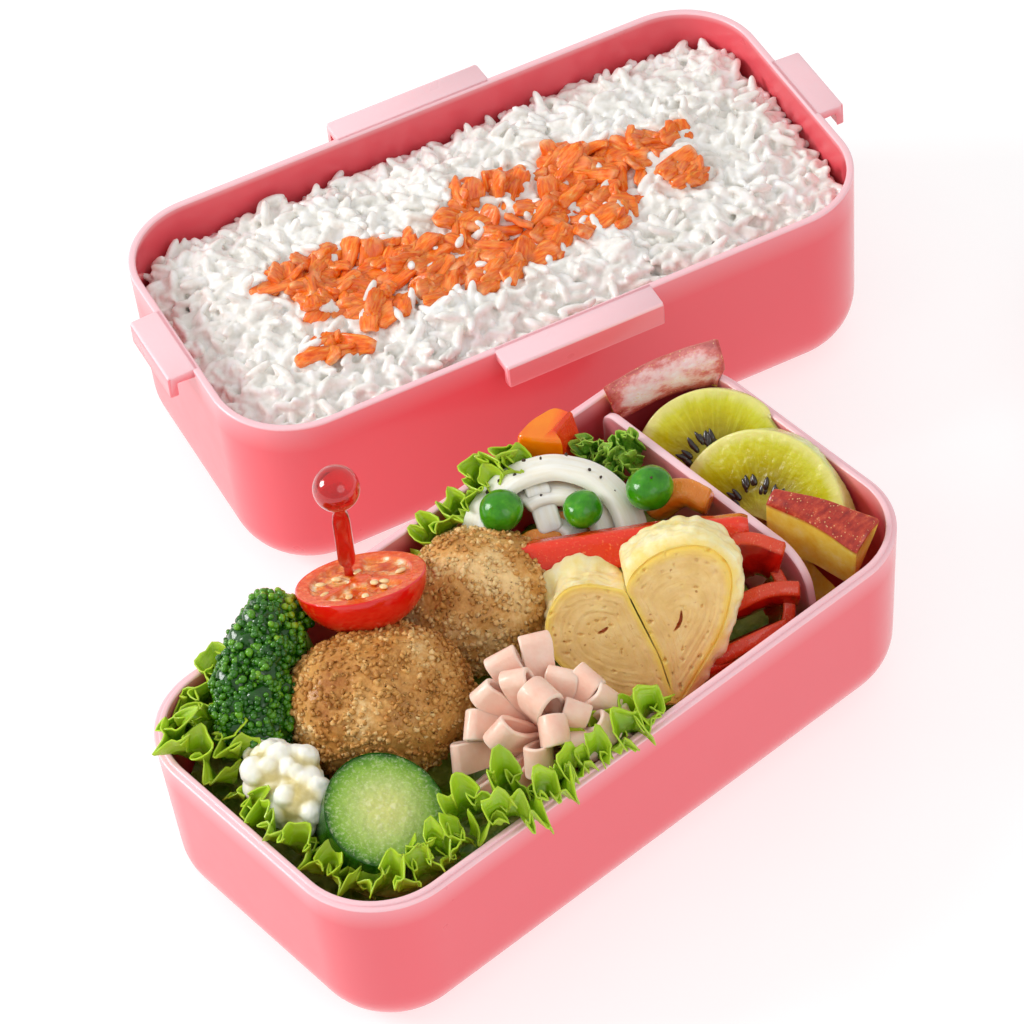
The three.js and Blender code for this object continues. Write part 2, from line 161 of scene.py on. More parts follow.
def closed_slab(top, bottom, rows, columns, flipped=False):
    """Two grids of points joined round their borders: (vertices, faces)."""
    faces = grid_faces(rows, columns)
    if flipped:
        faces = [quad[::-1] for quad in faces]
    count = len(top)
    faces += [[i + count for i in quad][::-1] for quad in faces]
    border = list(range(columns)) + [r * columns + columns - 1 for r in range(1, rows)]
    border += [count - 2 - i for i in range(columns - 1)] + [r * columns for r in range(rows - 2, 0, -1)]
    for a, b in zip(border, border[1:] + border[:1]):
        faces.append([a, b, b + count, a + count] if flipped else [b, a, a + count, b + count])
    return np.vstack([top, bottom]), faces


def ring(half_x, half_y, radius, z, steps):
    """A rounded rectangle at height z, with `steps` quads round each corner."""
    points = []
    for corner, (side_x, side_y) in enumerate(((1, 1), (-1, 1), (-1, -1), (1, -1))):
        angles = np.radians(90 * (corner + np.linspace(0, 1, steps + 1)))
        x = side_x * (half_x - radius) + radius * np.cos(angles)
        y = side_y * (half_y - radius) + radius * np.sin(angles)
        points.append(np.column_stack([x, y, np.full(steps + 1, z)]))
    return np.vstack(points)


def outline_rings(profile):
    """Rings of the tier outline at (inset, height) pairs."""
    return [ring(LENGTH / 2 - inset, WIDTH / 2 - inset, CORNER - inset, z, CORNER_STEPS) for inset, z in profile]


def outline_loft(profile):
    """Skin of the tier outline through (inset, height) pairs, with a flat cap at each end."""
    rings = outline_rings(profile)
    return np.vstack(rings), tube_faces(len(rings), len(rings[0]))


def swept(section, path, sides):
    """A closed section (n, 2), or one for each point, carried along a path with its own u axis along `sides`."""
    path, section = np.asarray(path, float), np.asarray(section, float)
    tangent = np.gradient(path, axis=0)
    tangent /= np.linalg.norm(tangent, axis=1)[:, None]
    sides = np.broadcast_to(np.asarray(sides, float), path.shape)
    u = sides - tangent * np.sum(sides * tangent, 1)[:, None]
    u /= np.linalg.norm(u, axis=1)[:, None]
    v = np.cross(tangent, u)
    if section.ndim == 2:
        section = np.broadcast_to(section, (len(path),) + section.shape)
    points = path[:, None] + section[..., :1] * u[:, None] + section[..., 1:] * v[:, None]
    return points.reshape(-1, 3), tube_faces(len(path), section.shape[1])


def rounded_section(half_u, half_v, radius, steps):
    return ring(half_u, half_v, radius, 0, steps)[:, :2]


def eased_ends(count, *eases):
    """Scales of `count` sections: `eases` from each end inwards, and 1 between."""
    scales = np.ones((count, 1, 1))
    for i, ease in enumerate(eases):
        scales[i] = scales[-1 - i] = ease
    return scales


def sphere(segments, rings):
    """Unit sphere with its poles on z, as one vertex at each pole."""
    angles = np.linspace(0, 2 * math.pi, segments, endpoint=False)
    latitudes = np.linspace(-math.pi / 2, math.pi / 2, rings + 1)[1:-1]
    body = [np.column_stack([np.cos(a) * np.cos(angles), np.cos(a) * np.sin(angles), np.full(segments, np.sin(a))])
            for a in latitudes]
    vertices = np.vstack([[[0, 0, -1]], *body, [[0, 0, 1]]])
    faces = [[i + 1 for i in quad] for quad in grid_faces(rings - 1, segments, wrap=True)]
    top = len(vertices) - 1
    for i in range(segments):
        following = (i + 1) % segments
        faces.append([0, 1 + following, 1 + i])
        faces.append([top, top - segments + i, top - segments + following])
    return vertices, faces


def noise_at(points, scale, seed=0):
    """Smooth noise from -1 to 1 at each point, with features about 1/scale long."""
    shift = 17.31 * seed
    return np.array([noise.noise(Vector((x * scale + shift, y * scale - shift, z * scale))) for x, y, z in points])


def noises_at(points, scale, *seeds):
    """A column of noise for each seed."""
    return np.column_stack([noise_at(points, scale, seed) for seed in seeds])


def random_ways(rng, count):
    """Unit vectors in every direction."""
    ways = rng.normal(0, 1, (count, 3))
    return ways / np.linalg.norm(ways, axis=1)[:, None]


# ---- Materials ------------------------------------------------------------------------------


def srgb(red, green, blue):
    """A colour of 0 to 255 screen values as linear light."""
    def linear(value):
        value /= 255
        return value / 12.92 if value <= 0.04045 else ((value + 0.055) / 1.055) ** 2.4
    return (linear(red), linear(green), linear(blue), 1.0)


BLACK, WHITE = (0, 0, 0, 1), (1, 1, 1, 1)


class Look:
    """A Principled material and short helpers for the nodes that feed it."""

    def __init__(self, name, roughness=0.5, coat=0.0, subsurface=0.0, radius=(1, 0.5, 0.3), scale=1.0):
        self.material = bpy.data.materials.new(name)
        self.material.use_nodes = True
        self.tree = self.material.node_tree
        self.shader = self.tree.nodes["Principled BSDF"]
        self.set("Roughness", roughness)
        self.set("Coat Weight", coat)
        self.set("Coat Roughness", 0.12)
        self.set("Specular IOR Level", 0.28 if subsurface else 0.5)
        self.set("Subsurface Weight", subsurface)
        self.set("Subsurface Radius", radius)
        self.set("Subsurface Scale", scale * MM)

    def set(self, socket, value):
        if isinstance(value, bpy.types.NodeSocket):
            self.tree.links.new(value, self.shader.inputs[socket])
        else:
            self.shader.inputs[socket].default_value = value

    def node(self, kind, **settings):
        made = self.tree.nodes.new(kind)
        for key, value in settings.items():
            setattr(made, key, value)
        return made

    def plug(self, socket, value):
        if isinstance(value, bpy.types.NodeSocket):
            self.tree.links.new(value, socket)
        else:
            socket.default_value = value

    def place(self):
        """Position in the object's own frame, in metres."""
        return self.node("ShaderNodeTexCoord").outputs["Object"]

    def local(self):
        """Position in the piece's own frame before it was placed, in millimetres."""
        return self.node("ShaderNodeAttribute", attribute_name="local").outputs["Vector"]

    def note(self, name):
        """A number from 0 to 1 that the mesh holds for each vertex."""
        return self.node("ShaderNodeAttribute", attribute_name=name).outputs["Fac"]

    def stretched(self, vector, factors):
        made = self.node("ShaderNodeVectorMath", operation="MULTIPLY")
        self.plug(made.inputs[0], vector)
        made.inputs[1].default_value = factors
        return made.outputs[0]

    def polar(self, place, around, outwards):
        """The distance from the piece's w axis, and (angle * around, distance * outwards, 0) as a vector."""
        parts = self.node("ShaderNodeSeparateXYZ")
        self.plug(parts.inputs[0], place)
        u, v = parts.outputs[:2]
        out = self.maths("SQRT", self.maths("ADD", self.maths("MULTIPLY", u, u), self.maths("MULTIPLY", v, v)))
        spin = self.node("ShaderNodeCombineXYZ")
        self.plug(spin.inputs[0], self.maths("MULTIPLY", self.maths("ARCTAN2", v, u), around))
        self.plug(spin.inputs[1], self.maths("MULTIPLY", out, outwards))
        return out, spin.outputs[0]

    def noise(self, scale, detail=3.0, rough=0.55, vector=None):
        """Noise from 0 to 1 with `scale` features per metre."""
        made = self.node("ShaderNodeTexNoise")
        self.plug(made.inputs["Vector"], vector or self.place())
        made.inputs["Scale"].default_value = scale
        made.inputs["Detail"].default_value = detail
        made.inputs["Roughness"].default_value = rough
        return made.outputs["Fac"]

    def cells(self, scale, feature, vector):
        """Distance in a cell pattern with `scale` cells per unit of the vector."""
        made = self.node("ShaderNodeTexVoronoi", feature=feature)
        self.plug(made.inputs["Vector"], vector)
        made.inputs["Scale"].default_value = scale
        return made.outputs["Distance"]

    def distort(self, vector, amount):
        """The vector shifted by noise of `amount` of its own units."""
        made = self.node("ShaderNodeTexNoise")
        self.plug(made.inputs["Vector"], vector)
        made.inputs["Scale"].default_value = 0.8
        shifted = self.node("ShaderNodeVectorMath", operation="MULTIPLY_ADD")
        self.plug(shifted.inputs[0], made.outputs["Color"])
        shifted.inputs[1].default_value = (amount, amount, amount)
        self.plug(shifted.inputs[2], vector)
        return shifted.outputs[0]

    def maths(self, operation, a, b=0.0, c=0.0):
        made = self.node("ShaderNodeMath", operation=operation)
        for socket, value in zip(made.inputs, (a, b, c)):
            self.plug(socket, value)
        return made.outputs[0]

    def ramp(self, factor, *stops):
        """Colour ramp from (position, colour) stops."""
        made = self.node("ShaderNodeValToRGB")
        elements = made.color_ramp.elements
        while len(elements) < len(stops):
            elements.new(0.5)
        for element, (position, colour) in zip(elements, stops):
            element.position = position
            element.color = colour
        self.plug(made.inputs["Fac"], factor)
        return made.outputs["Color"]

    def wander(self, value, amount, noise):
        """The value moved up or down by up to half of `amount`, as the noise says."""
        return self.maths("MULTIPLY_ADD", noise, amount, self.maths("SUBTRACT", value, amount / 2))

    def rise(self, factor, low, high):
        """0 below `low` and 1 above `high`."""
        return self.ramp(factor, (low, BLACK), (high, WHITE))

    def fall(self, factor, low, high):
        """1 below `low` and 0 above `high`."""
        return self.ramp(factor, (low, WHITE), (high, BLACK))

    def mix(self, factor, a, b):
        made = self.node("ShaderNodeMix", data_type="RGBA")
        self.plug(made.inputs["Factor"], factor)
        self.plug(made.inputs[6], a)
        self.plug(made.inputs[7], b)
        return made.outputs[2]

    def bump(self, height, distance, strength):
        """Bump of `distance` millimetres."""
        made = self.node("ShaderNodeBump")
        made.inputs["Strength"].default_value = strength
        made.inputs["Distance"].default_value = distance * MM
        self.plug(made.inputs["Height"], height)
        self.set("Normal", made.outputs["Normal"])


def inset_outline(outline, distance):
    """A closed anticlockwise outline moved inwards by `distance`."""
    outline = np.asarray(outline, float)
    edges = np.roll(outline, -1, axis=0) - outline
    normals = np.column_stack([-edges[:, 1], edges[:, 0]])
    normals /= np.maximum(np.linalg.norm(normals, axis=1), 1e-9)[:, None]
    before = np.roll(normals, 1, axis=0)
    mitre = (normals + before) / np.maximum(1 + np.sum(normals * before, 1), 0.35)[:, None]
    return outline + mitre * distance


def prism(outline, stations, axes=np.eye(3), origin=(0, 0, 0)):
    """An outline carried along its normal through (w, inset) stations, with flat ends: (vertices, faces)."""
    rings = [np.column_stack([inset_outline(outline, inset), np.full(len(outline), w)]) for w, inset in stations]
    return np.vstack(rings) @ np.asarray(axes).T + np.asarray(origin, float), tube_faces(len(rings), len(outline))


def domed(outline, profile, centre=(0, 0)):
    """Rings of a star-shaped outline through (scale, w) pairs that start and end at a pole: (local, faces)."""
    outline, centre = np.asarray(outline, float), np.asarray(centre, float)
    rings = [np.column_stack([centre + (outline - centre) * scale, np.full(len(outline), w)])
             for scale, w in profile[1:-1]]
    poles = [np.array([[*centre, profile[k][1]]]) for k in (0, -1)]
    count, last = len(outline), len(rings) * len(outline)
    faces = [[i + 1 for i in quad] for quad in grid_faces(len(rings), count, wrap=True)]
    for i in range(count):
        following = (i + 1) % count
        faces.append([0, 1 + following, 1 + i])
        faces.append([last + 1, last + 1 - count + i, last + 1 - count + following])
    return np.vstack([poles[0], *rings, poles[1]]), faces


def oval(a, b, steps=64):
    angles = np.linspace(0, 2 * math.pi, steps, endpoint=False)
    return np.column_stack([a * np.cos(angles), b * np.sin(angles)])


def dense_outline(points, spacing):
    """A closed polygon as a smooth curve with points about `spacing` apart."""
    points = np.asarray(points, float)
    count = len(points)
    made = []
    for i in range(count):
        a, b, c, d = (points[(i + k) % count] for k in (-1, 0, 1, 2))
        steps = max(2, int(np.linalg.norm(c - b) / spacing))
        for t in np.linspace(0, 1, steps, endpoint=False):
            made.append(0.5 * (2 * b + (c - a) * t + (2 * a - 5 * b + 4 * c - d) * t * t
                               + (3 * b - a - 3 * c + d) * t ** 3))
    return np.array(made)


def smooth_path(points, count):
    """An open curve through points, as `count` points."""
    points = np.asarray(points, float)
    ends = np.vstack([2 * points[0] - points[1], points, 2 * points[-1] - points[-2]])
    made = []
    for t in np.linspace(0, len(points) - 1 - 1e-6, count):
        i = int(t)
        a, b, c, d = ends[i:i + 4]
        t -= i
        made.append(0.5 * (2 * b + (c - a) * t + (2 * a - 5 * b + 4 * c - d) * t * t
                           + (3 * b - a - 3 * c + d) * t ** 3))
    return np.array(made)


# ---- Plastic looks --------------------------------------------------------------------------
PINK, DEEP_PINK, PALE_PINK = srgb(234, 88, 98), srgb(224, 66, 78), srgb(252, 212, 218)


def plastic(name, colour, shade):
    """Moulded plastic: a faint flow tone, a fine orange peel, and paler rims, edges and tops where the mesh's pale
    note is set: a painted highlight.
    """
    look = Look(name, coat=0.5, subsurface=0.1, radius=(1.0, 0.35, 0.35), scale=2.5)
    tone = look.mix(look.noise(28, 2.0), colour, shade)
    # The pale note is a painted highlight: lighter pink on rims, edges and tops.
    edge = look.note("pale")
    look.set("Base Color", look.mix(edge, tone, PALE_PINK))
    look.set("Roughness", look.maths("MULTIPLY_ADD", look.noise(90, 3.0), 0.12, 0.24))
    look.bump(look.noise(1500, 2.0), 0.02, 0.35)
    return look.material


def arc_points(centre_a, centre_b, radius, start, end, count):
    angles = np.radians(np.linspace(start, end, count))
    return [(centre_a + radius * math.cos(a), centre_b + radius * math.sin(a)) for a in angles]


def tier_profile(tier, notes):
    """(inset, z) pairs from the base round the rim to the floor; notes gets how pale each one is painted: a painted
    highlight on the rim.
    """
    height, taper, wall, rim, step = (tier[k] for k in ("height", "taper", "wall", "rim", "step"))
    lean = taper * (1 - BASE_FILLET / height)
    inner = BASE_FILLET - wall
    profile = [(lean + BASE_FILLET - BASE_FILLET * math.sin(a), BASE_FILLET * (1 - math.cos(a)))
               for a in np.linspace(0, math.pi / 2, 12)]
    rest = len(profile)
    walls = np.linspace(BASE_FILLET, height - step - 0.7, 6)[1:]
    profile += [(taper * (1 - z / height), z) for z in walls]
    edge = 0.5
    profile += arc_points(edge, height - step - edge, edge, 180, 90, 5)[1:]
    if step:
        profile += [(rim * 0.45 - 0.05, height - step), (rim * 0.45, height - step + 0.1)]
        profile += arc_points(rim * 0.45 + 0.35, height - 0.35, 0.35, 170, 90, 4)
    profile += arc_points(rim - edge, height - edge, edge, 90, 0, 5)
    # The rim's arcs get pale notes: a painted highlight along the rim.
    pale = [0.0] * (rest + len(walls) - 1) + [0.3] + [0.85] * (len(profile) - rest - len(walls) - 1) + [0.4]
    if step:
        profile += [(rim, height - 5.5), (wall + taper * 7 / height, height - 7)]
    else:
        profile += [(rim, height - 2)]
    profile += [(lean + wall + inner - inner * math.sin(a), FLOOR + inner * (1 - math.cos(a)))
                for a in np.linspace(math.pi / 2, 0, 12)]
    pale += [0.0] * (len(profile) - len(pale))
    notes.extend(pale)
    return profile


def tier_mesh(tier):
    notes = []
    vertices, faces = outline_loft(tier_profile(tier, notes))
    return vertices, faces, np.repeat(notes, len(vertices) // len(notes))


def lug_mesh(length, wall):
    """A lug in the frame of the side x = wall: plate outwards, lip turned down, all edges eased."""
    reach, plate, lip, drop = (LUG[k] for k in ("reach", "plate", "lip", "drop"))
    top = UPPER["height"]
    section = [(-1.2, top - plate), (-1.2, top)]
    section += arc_points(reach - 0.7, top - 0.7, 0.7, 90, 0, 5)
    section += arc_points(reach - 0.3, top - drop + 0.3, 0.3, 0, -90, 3)
    section += arc_points(reach - lip + 0.3, top - drop + 0.3, 0.3, -90, -180, 3)
    section += [(reach - lip, top - plate - 0.3), (reach - lip - 0.3, top - plate)]
    section = np.array(section) + (wall, 0)
    ends = 0.35
    stations = [(-length / 2, 1.0), (-length / 2 + ends, 0.0), (length / 2 - ends, 0.0), (length / 2, 1.0)]
    middle = np.array([wall + reach / 2, top - plate / 2])
    rows = []
    for y, pinch in stations:
        outline = section + pinch * np.clip(middle - section, -ends, ends) * (section[:, :1] > wall)
        rows.append(np.column_stack([outline[:, 0], np.full(len(outline), y), outline[:, 1]]))
    vertices = np.vstack(rows)
    # Painted highlight: the lug's top paler than its sides.
    pale = np.where(vertices[:, 2] > top - 0.5, 0.9, 0.25)
    return vertices, tube_faces(len(rows), len(section), flipped=True), pale


SIDES = (("right", 0, LENGTH / 2, "short"), ("back", 90, WIDTH / 2, "long"),
         ("left", 180, LENGTH / 2, "short"), ("front", 270, WIDTH / 2, "long"))


def make_tiers():
    material = plastic("moulded_pink", PINK, srgb(236, 92, 104))
    vertices, faces, pale = tier_mesh(LOWER)
    end = -LENGTH / 2
    notch = (vertices[:, 2] < 4.2) & (vertices[:, 0] < end + 12) & (abs(vertices[:, 1] - 8) < 9)
    vertices[notch, 0] += 0.9
    piece("lower_tub", vertices, faces, material, "lower_tier", "tier_pink", ["lower_tier"], extra={"pale": pale})
    shells = [tier_mesh(UPPER)]
    for _, yaw, wall, kind in SIDES:
        vertices, faces, pale = lug_mesh(LUG[kind], wall)
        shells.append((vertices @ yaw_axes(yaw).T, faces, pale))
    vertices, faces, pale = merged(shells)
    piece("upper_tub", tier_to_row(vertices, UPPER_PLACE), faces, material, "upper_tier", "tier_pink",
          ["upper_tier"], extra={"pale": pale})
    return material


def make_divider():
    """The divider's plate with a thickened and rounded top edge, painted paler as a painted highlight."""
    low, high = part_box("divider")
    low, high = np.array(low) / MM, np.array(high) / MM
    top, side = high[2], high[1]
    outline = arc_points(side - 12, low[2] + 12, 12, -90, 0, 9)
    outline += arc_points(side - 4, top - 4, 4, 0, 90, 7)
    outline += arc_points(-20.5, top - 10, 10, 90, 172, 12)
    outline += [(-31.2, 32.5), (-32.6, 28), (-34.6, 23.5), (-36.6, 20), (-37.3, 17)]
    outline += arc_points(-side + 12, low[2] + 12, 12, 180, 270, 9)
    outline = np.array(outline)
    centre = (outline.min(0) + outline.max(0)) / 2
    middle, half = (low[0] + high[0]) / 2, (high[0] - low[0]) / 2
    rows, pale = [], []
    edges = [(-half, 1.6, 0.35), (-half, 0.35, 0.8), (-half * 0.6, 0.05, 1), (half * 0.6, 0.05, 1),
             (half, 0.35, 0.8), (half, 1.6, 0.35)]
    inwards = centre - outline
    inwards /= np.linalg.norm(inwards, axis=1)[:, None]
    for x, inset, tone in edges:
        ringed = outline + inwards * inset
        rows.append(np.column_stack([np.full(len(ringed), middle + x), ringed]))
        # Painted highlight: the top edge paler.
        pale.append(np.where(ringed[:, 1] > 17, tone, 0))
    count = len(outline)
    faces = grid_faces(len(rows), count, wrap=True)
    fan = [np.array([[middle + side_x, *centre]]) for side_x in (-half, half)]
    vertices = np.vstack(rows + fan)
    low_centre, high_centre = len(rows) * count, len(rows) * count + 1
    for i in range(count):
        following = (i + 1) % count
        faces.append([low_centre, following, i])
        faces.append([high_centre, (len(rows) - 1) * count + i, (len(rows) - 1) * count + following])
    pale = np.concatenate(pale + [[0, 0]])
    piece("divider_plate", vertices, faces, plastic("divider_pink", DEEP_PINK, PINK), "divider", "divider_pink",
          ["divider"], extra={"pale": pale})


# ---- Rice and salmon ------------------------------------------------------------------------


def rice_height(points):
    """Height of the rice over (x, y) of the upper tier's own frame."""
    inner_x, inner_y = LENGTH / 2 - 2.6, WIDTH / 2 - 2.6
    to_wall = np.minimum(inner_x - abs(points[:, 0]), inner_y - abs(points[:, 1]))
    rise = np.clip(to_wall / 24, 0, 1)
    flat = np.column_stack([points, np.zeros(len(points))])
    lumps = 2.4 * noise_at(flat, 1 / 13, 3) + 1.9 * noise_at(flat, 1 / 5.5, 4)
    return RICE_EDGE + (RICE_CROWN - RICE_EDGE) * rise * (2 - rise) + lumps


def inside_outline(points, inset):
    half_x, half_y, radius = LENGTH / 2 - inset, WIDTH / 2 - inset, CORNER - inset
    beyond = np.maximum(abs(points) - (half_x - radius, half_y - radius), 0)
    return np.hypot(*beyond.T) < radius


def rice_look():
    look = Look("cooked_rice", roughness=0.3, coat=0.4, subsurface=0.4, radius=(1.0, 0.95, 0.85), scale=1.6)
    tone = look.noise(420, 3.0, 0.5)
    broad = look.maths("MULTIPLY_ADD", look.noise(70, 2.0), 0.5, look.maths("SUBTRACT", tone, 0.25))
    look.set("Base Color", look.ramp(broad, (0.2, srgb(222, 219, 210)), (0.5, srgb(240, 238, 232)),
                                     (0.8, srgb(252, 252, 250))))
    look.bump(look.noise(1100, 3.0), 0.12, 0.4)
    return look.material


def turns(yaw, pitch, roll):
    """Rotation matrices (n, 3, 3) from angle arrays in radians."""
    cy, sy, cp, sp, cr, sr = np.cos(yaw), np.sin(yaw), np.cos(pitch), np.sin(pitch), np.cos(roll), np.sin(roll)
    rows = [[cy * cp, cy * sp * sr - sy * cr, cy * sp * cr + sy * sr],
            [sy * cp, sy * sp * sr + cy * cr, sy * sp * cr - cy * sr],
            [-sp, cp * sr, cp * cr]]
    return np.moveaxis(np.array(rows), -1, 0)


def scatter(template, faces, centres, rotations, scales):
    """Copies of a template mesh: (vertices, faces)."""
    count = len(template)
    points = np.einsum("nij,nkj->nki", rotations, template[None] * scales[:, None]) + centres[:, None]
    all_faces = []
    for i in range(len(centres)):
        all_faces.extend([[k + i * count for k in polygon] for polygon in faces])
    return points.reshape(-1, 3), all_faces


def fused(vertices, faces, voxel, smoothing):
    """Overlapping closed shells as one skin: (vertices, faces)."""
    mesh = bpy.data.meshes.new("shells")
    mesh.from_pydata((np.asarray(vertices, float) * MM).tolist(), [], faces)
    shells = bpy.data.objects.new("shells", mesh)
    bpy.context.scene.collection.objects.link(shells)
    remesh = shells.modifiers.new("skin", "REMESH")
    remesh.mode, remesh.voxel_size = "VOXEL", voxel * MM
    smooth = shells.modifiers.new("smooth", "SMOOTH")
    smooth.factor, smooth.iterations = 0.5, smoothing
    skin = bpy.data.meshes.new_from_object(shells.evaluated_get(bpy.context.evaluated_depsgraph_get()))
    points = np.zeros(len(skin.vertices) * 3)
    skin.vertices.foreach_get("co", points)
    polygons = [list(polygon.vertices) for polygon in skin.polygons]
    bpy.data.objects.remove(shells)
    bpy.data.meshes.remove(mesh)
    bpy.data.meshes.remove(skin)
    return points.reshape(-1, 3) / MM, polygons


def slab_between(low_x, high_x, spacing):
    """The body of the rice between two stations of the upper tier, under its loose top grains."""
    inset, radius = 3.4, CORNER - 3.4
    xs = np.arange(low_x, high_x + spacing, spacing)
    reach = WIDTH / 2 - inset
    into = np.clip(abs(xs) - (LENGTH / 2 - inset - radius), 0, radius * 0.999)
    half = reach - radius + np.sqrt(radius ** 2 - into ** 2)
    across = np.linspace(-1, 1, int(2 * reach / spacing))
    flat = np.column_stack([np.repeat(xs, len(across)), np.outer(half, across).ravel()])
    top = np.column_stack([flat, rice_height(flat) - 1.6])
    bottom = np.column_stack([flat * 0.97, np.full(len(flat), 24.0)])
    return closed_slab(top, bottom, len(xs), len(across), flipped=True)


RICE_BANDS = (("rice_left", -78.9, -26.0), ("rice_middle", -27.0, 27.0), ("rice_right", 26.0, 78.9))
# Layers of loose grains: the distance between grains, their depth below the surface, and the spread of that depth.
RICE_LAYERS = ((2.35, 1.0, 0.35), (2.6, 0.1, 0.5), (4.4, -0.9, 0.7))
RICE_END, RICE_VOXEL = 78.5, 0.4


def make_rice():
    rng = np.random.default_rng(11)
    look = rice_look()
    grain, grain_faces = sphere(10, 8)
    grain = np.sign(grain) * abs(grain) ** 0.85
    grain[:, 2] += 0.25 * (1 - grain[:, 0] ** 2) - 0.12
    spots = []
    for pitch, drop, jitter in RICE_LAYERS:
        xs, ys = np.meshgrid(np.arange(-80, 80, pitch), np.arange(-40, 40, pitch))
        flat = np.column_stack([xs.ravel(), ys.ravel()]) + rng.uniform(-1.3, 1.3, (xs.size, 2))
        flat = flat[inside_outline(flat, 4.0)]
        spots.append(np.column_stack([flat, rice_height(flat) - drop + rng.normal(0, jitter, len(flat))]))
    spots = np.vstack(spots)
    for name, low, high in RICE_BANDS:
        chosen = spots[(spots[:, 0] >= low) & (spots[:, 0] < high)]
        count = len(chosen)
        turned = turns(rng.uniform(0, 2 * math.pi, count), rng.normal(0, 0.38, count), rng.uniform(0, 6.3, count))
        scales = np.column_stack([rng.uniform(2.9, 4.0, count), rng.uniform(1.0, 1.3, count),
                                  rng.uniform(0.95, 1.2, count)])
        grains = scatter(grain, grain_faces, chosen, turned, scales)
        body = slab_between(max(low, -RICE_END), min(high, RICE_END), 2.0)
        vertices, faces = fused(*merged([grains, body]), RICE_VOXEL, 1)
        piece(name, tier_to_row(vertices, UPPER_PLACE), faces, look, "upper_tier", "rice", ["rice_bed"], sharp=None)


def salmon_look():
    look = Look("flaked_salmon", roughness=0.34, coat=0.35, subsurface=0.2, radius=(1.0, 0.35, 0.12), scale=1.4)
    local = look.local()
    fibre = look.noise(1.0, 4.0, 0.6, look.stretched(local, (0.25, 1.5, 1.0)))
    flesh = look.ramp(fibre, (0.3, srgb(222, 78, 0)), (0.48, srgb(242, 108, 8)), (0.62, srgb(248, 140, 40)),
                      (0.8, srgb(253, 192, 118)))
    edge = look.note("edge")
    cloud = look.rise(look.noise(0.4, 2.0, 0.5, local), 0.4, 0.65)
    blotch = look.maths("MULTIPLY", cloud, look.maths("MULTIPLY_ADD", edge, 0.6, 0.15))
    look.set("Base Color", look.mix(blotch, flesh, srgb(252, 196, 144)))
    look.bump(fibre, 0.35, 0.7)
    return look.material


def flake(rng):
    """One broken flake: (vertices, faces, edge)."""
    base, faces = sphere(26, 14)
    shaped = np.sign(base) * abs(base) ** 0.55
    size = np.array([rng.uniform(2.6, 6.2), rng.uniform(1.6, 3.1), rng.uniform(0.75, 1.4)])
    points = shaped * size
    seed = int(rng.integers(1000))
    points += 1.15 * noises_at(points, 0.3, seed, seed + 1, seed + 2) * (1, 1, 0.55)
    points += 0.35 * noises_at(points, 1.0, seed + 5, seed + 6, seed + 7) * (1, 1, 0.6)
    bend = rng.uniform(-0.02, 0.05)
    points[:, 2] -= bend * points[:, 0] ** 2
    points[:, 2] += 0.12 * np.sin(points[:, 1] * 3.6 + noise_at(points, 0.5, seed + 9) * 3)
    return points, faces, abs(base[:, 0]) ** 3


# Each heap of flakes: its middle (x, y) on the rice, its radius and how many flakes it holds.
SALMON_HEAPS = (
    ("salmon_left", ((-50, 10, 5, 7), (-46, 1, 6, 14), (-40, 11, 5, 10), (-50, -15, 5, 7), (-38, -1, 7, 20),
                     (-27, 6, 7, 20), (-35, -10, 5, 9))),
    ("salmon_middle", ((-20, -2, 7, 20), (-4, 13, 4.5, 8), (-19, -10, 5, 10), (-7, -9, 7, 18), (-5, 1, 7, 18),
                       (-7, -17, 5, 7), (2, -13, 4.5, 7))),
    ("salmon_right", ((8, 10, 5, 9), (10, -5, 7, 18), (23, 10, 6, 14), (32, 7, 7, 18), (23, -11, 5, 10),
                      (42, 5, 7, 17), (50, 5, 4, 7), (46, -9, 4, 7), (20, 0, 7, 15), (28, -6, 6, 11))),
)


def make_salmon():
    look = salmon_look()
    rng = np.random.default_rng(5)
    for node, heaps in SALMON_HEAPS:
        flakes = []
        spots = np.array([(x, y, size) for x, y, size, count in heaps for _ in range(count)], float)
        for x, y, size in spots:
            points, faces, edge = flake(rng)
            spread = rng.normal(0, 0.5, 2)
            spread *= min(1, 1.1 / max(np.hypot(*spread), 1e-6))
            spot = np.array([x, y]) + spread * size
            height = rice_height(spot[None])[0] + rng.uniform(0.5, 1.5) + 1.0 * math.exp(-2 * np.dot(spread, spread))
            angles = (rng.uniform(-0.9, 1.5), rng.normal(0, 0.36), rng.normal(0, 0.45))
            turned = turns(*(np.array([a]) for a in angles))[0]
            flakes.append((points @ turned.T + (*spot, height), faces, points + rng.uniform(-40, 40, 3), edge))
        vertices, faces, local, edge = merged(flakes)
        piece(node + "_flakes", tier_to_row(vertices, UPPER_PLACE), faces, look, "upper_tier", "salmon", [node],
              local=local, extra={"edge": edge}, sharp=60)


# ---- Lid ------------------------------------------------------------------------------------
LID = {"plug": 9.3, "plug_wall": 1.8, "plug_gap": 1.0, "flange": 2.0, "crown": 6.0, "skin": 2.0, "crown_inset": 7.0}
SEAL = {"thickness": 0.8, "height": 3.0, "gap": 0.35}
LATCH = {"thickness": 2.0, "knuckle": 1.8, "pin": 0.9, "hole": 1.15, "ear": 3.0, "hook": 1.8, "below": 8.4,
         "play": 0.5}
HINGE_OUT, HINGE_Z = LUG["reach"] - 0.2, LID["plug"] + LID["flange"] - 0.2


